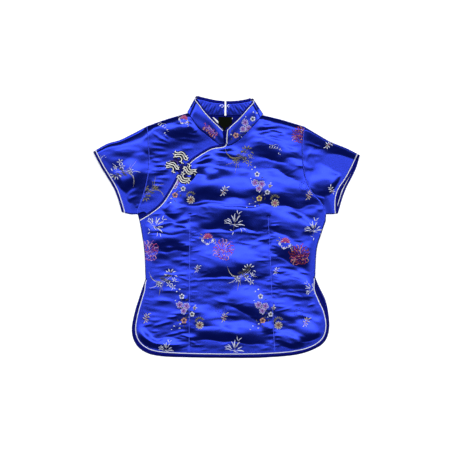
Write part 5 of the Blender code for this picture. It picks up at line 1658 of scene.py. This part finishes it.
def snow(look):
    """A few pale hooks, as of a motif that is nearly all on the cloth's other face."""
    strokes = []
    for x, y, reach in ((-12, 5, 5.0), (-6, 5, 6.0), (0, 4, 6.0), (6, 3, 5.0), (12, -1, 4.0), (9, -10, 4.0)):
        hook = [(x + 1.5, y + reach / 2), (x - 1.2, y), (x + 1.0, y - reach / 2)]
        strokes.append(line_stroke(look.light, hook, 1.5))
        strokes += bud(look.light, x + 3.4, y - 3.0, 1.6)
    strokes.append(line_stroke(look.light, [(-14, 11), (-5, 9), (2, 11), (8, 9)], 0.6))
    return strokes


def frog_middle_darkening(look):
    """Dark needles round the frog's knot that darken the cloth between its four lobes."""
    strokes = []
    for needle in range(26):
        angle = GOLDEN_TURN * needle
        start = 3.0 + 0.5 * needle
        strokes.append(petal_stroke("dusk", start, start + 12.0, angle, 1.0, 6.0, lean=14))
        if needle % 4 == 0:
            strokes.append(petal_stroke(look.cloud_shade, start, start + 6.0, angle + 30, 0.4, 1.0, 1,
                                        lean=6))
    return strokes


Look = namedtuple("Look", "light flower cloud cloud_shade edge tip peony ring")
LOOKS = {
    "cool": Look("white", "rose", "lilac", "violet", "pink", "salmon", "cream", "yellow"),
    "warm": Look("white", "maroon", "lilac", "violet", "pink", "salmon", "cream", "salmon"),
    "dark": Look("gold", "maroon", "maroon", "rose", "salmon", "orange", "salmon", "orange"),
    "blush": Look("cream", "rose", "lilac", "maroon", "salmon", "salmon", "salmon", "orange"),
}

# Where each motif lies on each panel: the motif, its look, its place in metres, its turn and its size
Motif = namedtuple("Motif", "draw look x y turn size")
MOTIFS = {
    "front": [
        (orchid_arc, "dark", 0.027, 0.170, 0, 1.00),
        (plum_branch, "cool", 0.079, 0.092, 0, 1.00),
        (plum_branch, "warm", 0.087, -0.195, 0, 1.00),
        (plum_branch, "warm", -0.098, -0.195, 0, 1.00),
        (plum_branch, "warm", -0.119, 0.100, 0, 1.00),
        (frog_middle_darkening, "cool", -0.101, 0.133, 0, 0.80),
        (chrysanthemum, "cool", -0.007, -0.056, 0, 1.12),
        (chrysanthemum, "dark", 0.173, -0.068, 30, 1.12),
        (chrysanthemum, "cool", -0.183, -0.059, 20, 1.12),
        (chrysanthemum, "dark", 0.173, 0.214, 10, 0.90),
        (two_tone_blossom, "cool", -0.044, -0.026, 0, 1.00),
        (two_tone_blossom, "cool", 0.138, -0.036, -10, 1.00),
        (bamboo, "cool", 0.019, 0.008, 0, 1.00),
        (bamboo, "cool", -0.168, 0.003, -30, 0.95),
        (bamboo, "cool", 0.205, -0.007, 10, 0.90),
        (bamboo, "cool", 0.019, -0.288, 0, 0.95),
        (bamboo, "cool", 0.200, -0.146, 60, 0.70),
        (bamboo, "cool", -0.142, -0.288, 0, 0.75),
        (orchid_arc, "cool", 0.032, -0.108, 0, 1.00),
        (orchid_arc, "cool", -0.152, -0.120, 0, 1.00),
        (sprig, "warm", -0.006, 0.085, 0, 1.00),
        (sprig, "blush", -0.006, -0.212, 10, 0.90),
        (sprig, "blush", -0.189, -0.214, 10, 0.95),
        (sprig, "blush", 0.187, -0.223, 0, 0.95),
        (sprig, "blush", 0.194, 0.075, 0, 0.95),
        (sprig, "cool", -0.069, -0.098, 0, 0.75),
        (sprig, "cool", 0.116, -0.103, 0, 0.70),
        (snow, "cool", 0.114, 0.183, 0, 1.00),
        (shadow_blossom, "cool", -0.014, -0.194, 0, 1.00),
        (shadow_blossom, "cool", 0.170, -0.202, 0, 0.90),
        (shadow_blossom, "cool", -0.192, -0.196, 0, 0.90),
        (shadow_blossom, "cool", 0.182, 0.096, 0, 0.90),
    ],
    "shoulder_underlap": [
        (two_tone_blossom, "cool", -0.100, 0.254, -20, 0.80),
        (frog_middle_darkening, "cool", -0.116, 0.146, 40, 0.80),
        (snow, "cool", -0.150, 0.233, -20, 1.00),
        (orchid_arc, "dark", -0.173, 0.080, 180, 0.90),
        (sprig, "warm", -0.134, 0.147, 0, 0.80),
    ],
    "sleeve_left": [
        (orchid_arc, "cool", -0.238, 0.122, 150, 1.00),
        (snow, "cool", -0.292, 0.162, 60, 0.60),
    ],
    "sleeve_right": [
        (sprig, "cool", 0.240, 0.194, -20, 1.00),
        (sprig, "warm", 0.247, 0.087, 60, 0.80),
    ],
    "collar_left": [(petal_spray, "blush", -0.038, 0.225, -40, 1.00)],
    "collar_right": [(plum_branch, "warm", 0.042, 0.229, -51, 0.97)],
}


def motif_strokes(rows):
    """All the strokes of a panel's motifs, in metres."""
    strokes = []
    for row in rows:
        motif = Motif(*row)
        drawn = motif.draw(LOOKS[motif.look])
        strokes += placed_strokes(drawn, motif.x, motif.y, motif.turn, MM * motif.size)
    return strokes


def add_brocade(panel, cloth):
    """The coloured floats of a panel, laid on its upper face and ending where the cloth ends."""
    bpy.context.view_layer.update()
    tree = BVHTree.FromObject(cloth, bpy.context.evaluated_depsgraph_get())
    down = Vector((0.0, 0.0, -1.0))
    shape = bmesh.new()
    for thread, line, width, level in motif_strokes(MOTIFS[panel]):
        count = max(3, int(length_of(line) / STITCH_STEP))
        line = resample(line, count)
        share = np.linspace(0.0, 1.0, count + 1)
        half = 0.5 * width * np.maximum(np.sin(math.pi * share), STITCH_END) ** STITCH_ROUNDNESS
        sides = left_normals(line) * half[:, None]
        rows_found = []
        for middle, side in zip(line, sides):
            band = []
            for across, raised in ((1.0, 0.0), (0.0, STITCH_CROWN), (-1.0, 0.0)):
                place = middle + across * side
                hit = tree.ray_cast(Vector((*place, RAY_START)), down)[0]
                if hit is not None:
                    band.append((*place, hit.z + STITCH_LIFT + level * STITCH_LEVEL + raised))
            rows_found.append(band if len(band) == 3 else None)
        for run in unbroken(rows_found):
            faces_before = len(shape.faces)
            grid_shape(np.array(run)[:, ::-1], shape)
            shape.faces.ensure_lookup_table()
            for face in shape.faces[faces_before:]:
                face.material_index = THREADS.index(thread)
    piece = finished(panel + "_brocade", shape, THREAD_LOOKS)
    return walled(piece, STITCH_WALL)


def unbroken(rows):
    """The runs of two or more neighbouring rows that are all on the cloth."""
    runs, run = [], []
    for row in [*rows, None]:
        if row is not None:
            run.append(row)
            continue
        if len(run) > 1:
            runs.append(run)
        run = []
    return runs


# Floor, lights and camera
FLOOR_HALF = 30.0
FLOOR_GLOW = 0.16
FLOOR_DROP = 0.0002
FLOOR_COLOUR = (0.92, 0.92, 0.92, 1.0)
FLOOR_GLOW_COLOUR = (1.0, 1.0, 1.0, 1.0)
FLOOR_ROUGHNESS = 0.9


def add_stage():
    """A wide pale floor that glows a little, just below the cloth."""
    shape = bmesh.new()
    bmesh.ops.create_grid(shape, x_segments=1, y_segments=1, size=FLOOR_HALF)
    mesh = bpy.data.meshes.new("floor")
    shape.to_mesh(mesh)
    shape.free()
    floor = bpy.data.objects.new("floor", mesh)
    floor.location.z = -FLOOR_DROP
    made, nodes, links, shader = new_material("pale_floor")
    shader.inputs["Base Color"].default_value = FLOOR_COLOUR
    shader.inputs["Roughness"].default_value = FLOOR_ROUGHNESS
    shader.inputs["Emission Color"].default_value = FLOOR_GLOW_COLOUR
    shader.inputs["Emission Strength"].default_value = FLOOR_GLOW
    mesh.materials.append(made)
    bpy.context.scene.collection.objects.link(floor)


# Softboxes far above the cloth, one just below another, so that every part of the cloth reflects the
# same stretch of them and their brightness grows step by step towards the collar: the nearest and
# the furthest angle from straight up towards the collar, the width, the brightness and the height
Softbox = namedtuple("Softbox", "name near far width radiance height")
SOFTBOXES = [
    ("outer_softbox", -6.5, 34.0, 46.0, 0.7, 18.0),
    ("broad_softbox", -3.0, 31.0, 44.0, 1.1, 17.8),
    ("middle_softbox", 1.0, 29.0, 42.0, 1.2, 17.6),
    ("inner_softbox", 5.5, 27.0, 36.0, 1.4, 17.4),
    ("bright_softbox", 11.0, 25.0, 28.0, 2.2, 17.2),
]
FILL_STRENGTH = 0.15
FILL_COLOUR = (0.32, 0.50, 1.0, 1.0)


def add_lights():
    for row in SOFTBOXES:
        box = Softbox(*row)
        near, far = (box.height * math.tan(math.radians(edge)) for edge in (box.near, box.far))
        data = bpy.data.lights.new(box.name, "AREA")
        data.shape = "RECTANGLE"
        data.size, data.size_y = box.width, far - near
        data.energy = box.radiance * math.pi * data.size * data.size_y
        lamp = bpy.data.objects.new(box.name, data)
        lamp.location = (0.0, (near + far) / 2, box.height)
        lamp.visible_camera = False
        bpy.context.scene.collection.objects.link(lamp)
    world = bpy.data.worlds.new("studio")
    world.use_nodes = True
    world.node_tree.nodes["Background"].inputs["Color"].default_value = FILL_COLOUR
    world.node_tree.nodes["Background"].inputs["Strength"].default_value = FILL_STRENGTH
    bpy.context.scene.world = world


def add_camera():
    """A camera that looks straight down from far away, so that nothing is seen at a slant."""
    data = bpy.data.cameras.new("camera")
    data.sensor_width = SENSOR_WIDTH
    data.lens = SENSOR_WIDTH * CAMERA_HEIGHT / VIEW_WIDTH
    camera = bpy.data.objects.new("camera", data)
    camera.location = (VIEW_CENTRE[0], VIEW_CENTRE[1], VIEW_CENTRE[2] + CAMERA_HEIGHT)
    bpy.context.scene.collection.objects.link(camera)
    bpy.context.scene.camera = camera
    bpy.context.scene.view_settings.view_transform = "Standard"


def main():
    add_camera()
    add_stage()
    add_lights()
    front, front_grid = add_front()
    underlap, underlap_grid = add_underlap()
    backs = add_backs()
    sleeves = [add_sleeve(side) for side in SIDE_NAMES]
    for side in SIDE_NAMES:
        add_collar(side)
    add_size_tag()
    hems = add_hems()
    placket = add_placket()
    under_frog = surface_finder([front, underlap, *placket])
    for lobe in LOBES:
        add_lobe(under_frog, *lobe)
    add_loop(under_frog)
    highest = surface_finder([front, underlap, *sleeves])
    rolls = [add_seam_roll("dart_roll_left", DARTS[0], highest),
             add_seam_roll("dart_roll_right", DARTS[1], highest),
             add_seam_roll("armhole_roll_right", ARMHOLE[RIGHT], highest)]
    underlap_rolls = [add_seam_roll("armhole_roll_left", ARMHOLE[LEFT], highest)]
    front_brocade = add_brocade("front", front)
    underlap_brocade = add_brocade("shoulder_underlap", underlap)
    declare(front, front_grid)
    declare(underlap, underlap_grid)
    for (back, grid), trim in zip(backs, (hems["hem_back"], [])):
        declare(back, grid)
    for node, look in (("hook", WIRE), ("eye", WIRE), ("neck_label", LABEL_TAPE_AND_SHADE), ("frog_knot", NAVY)):
        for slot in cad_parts[node].material_slots:
            slot.material = look


main()
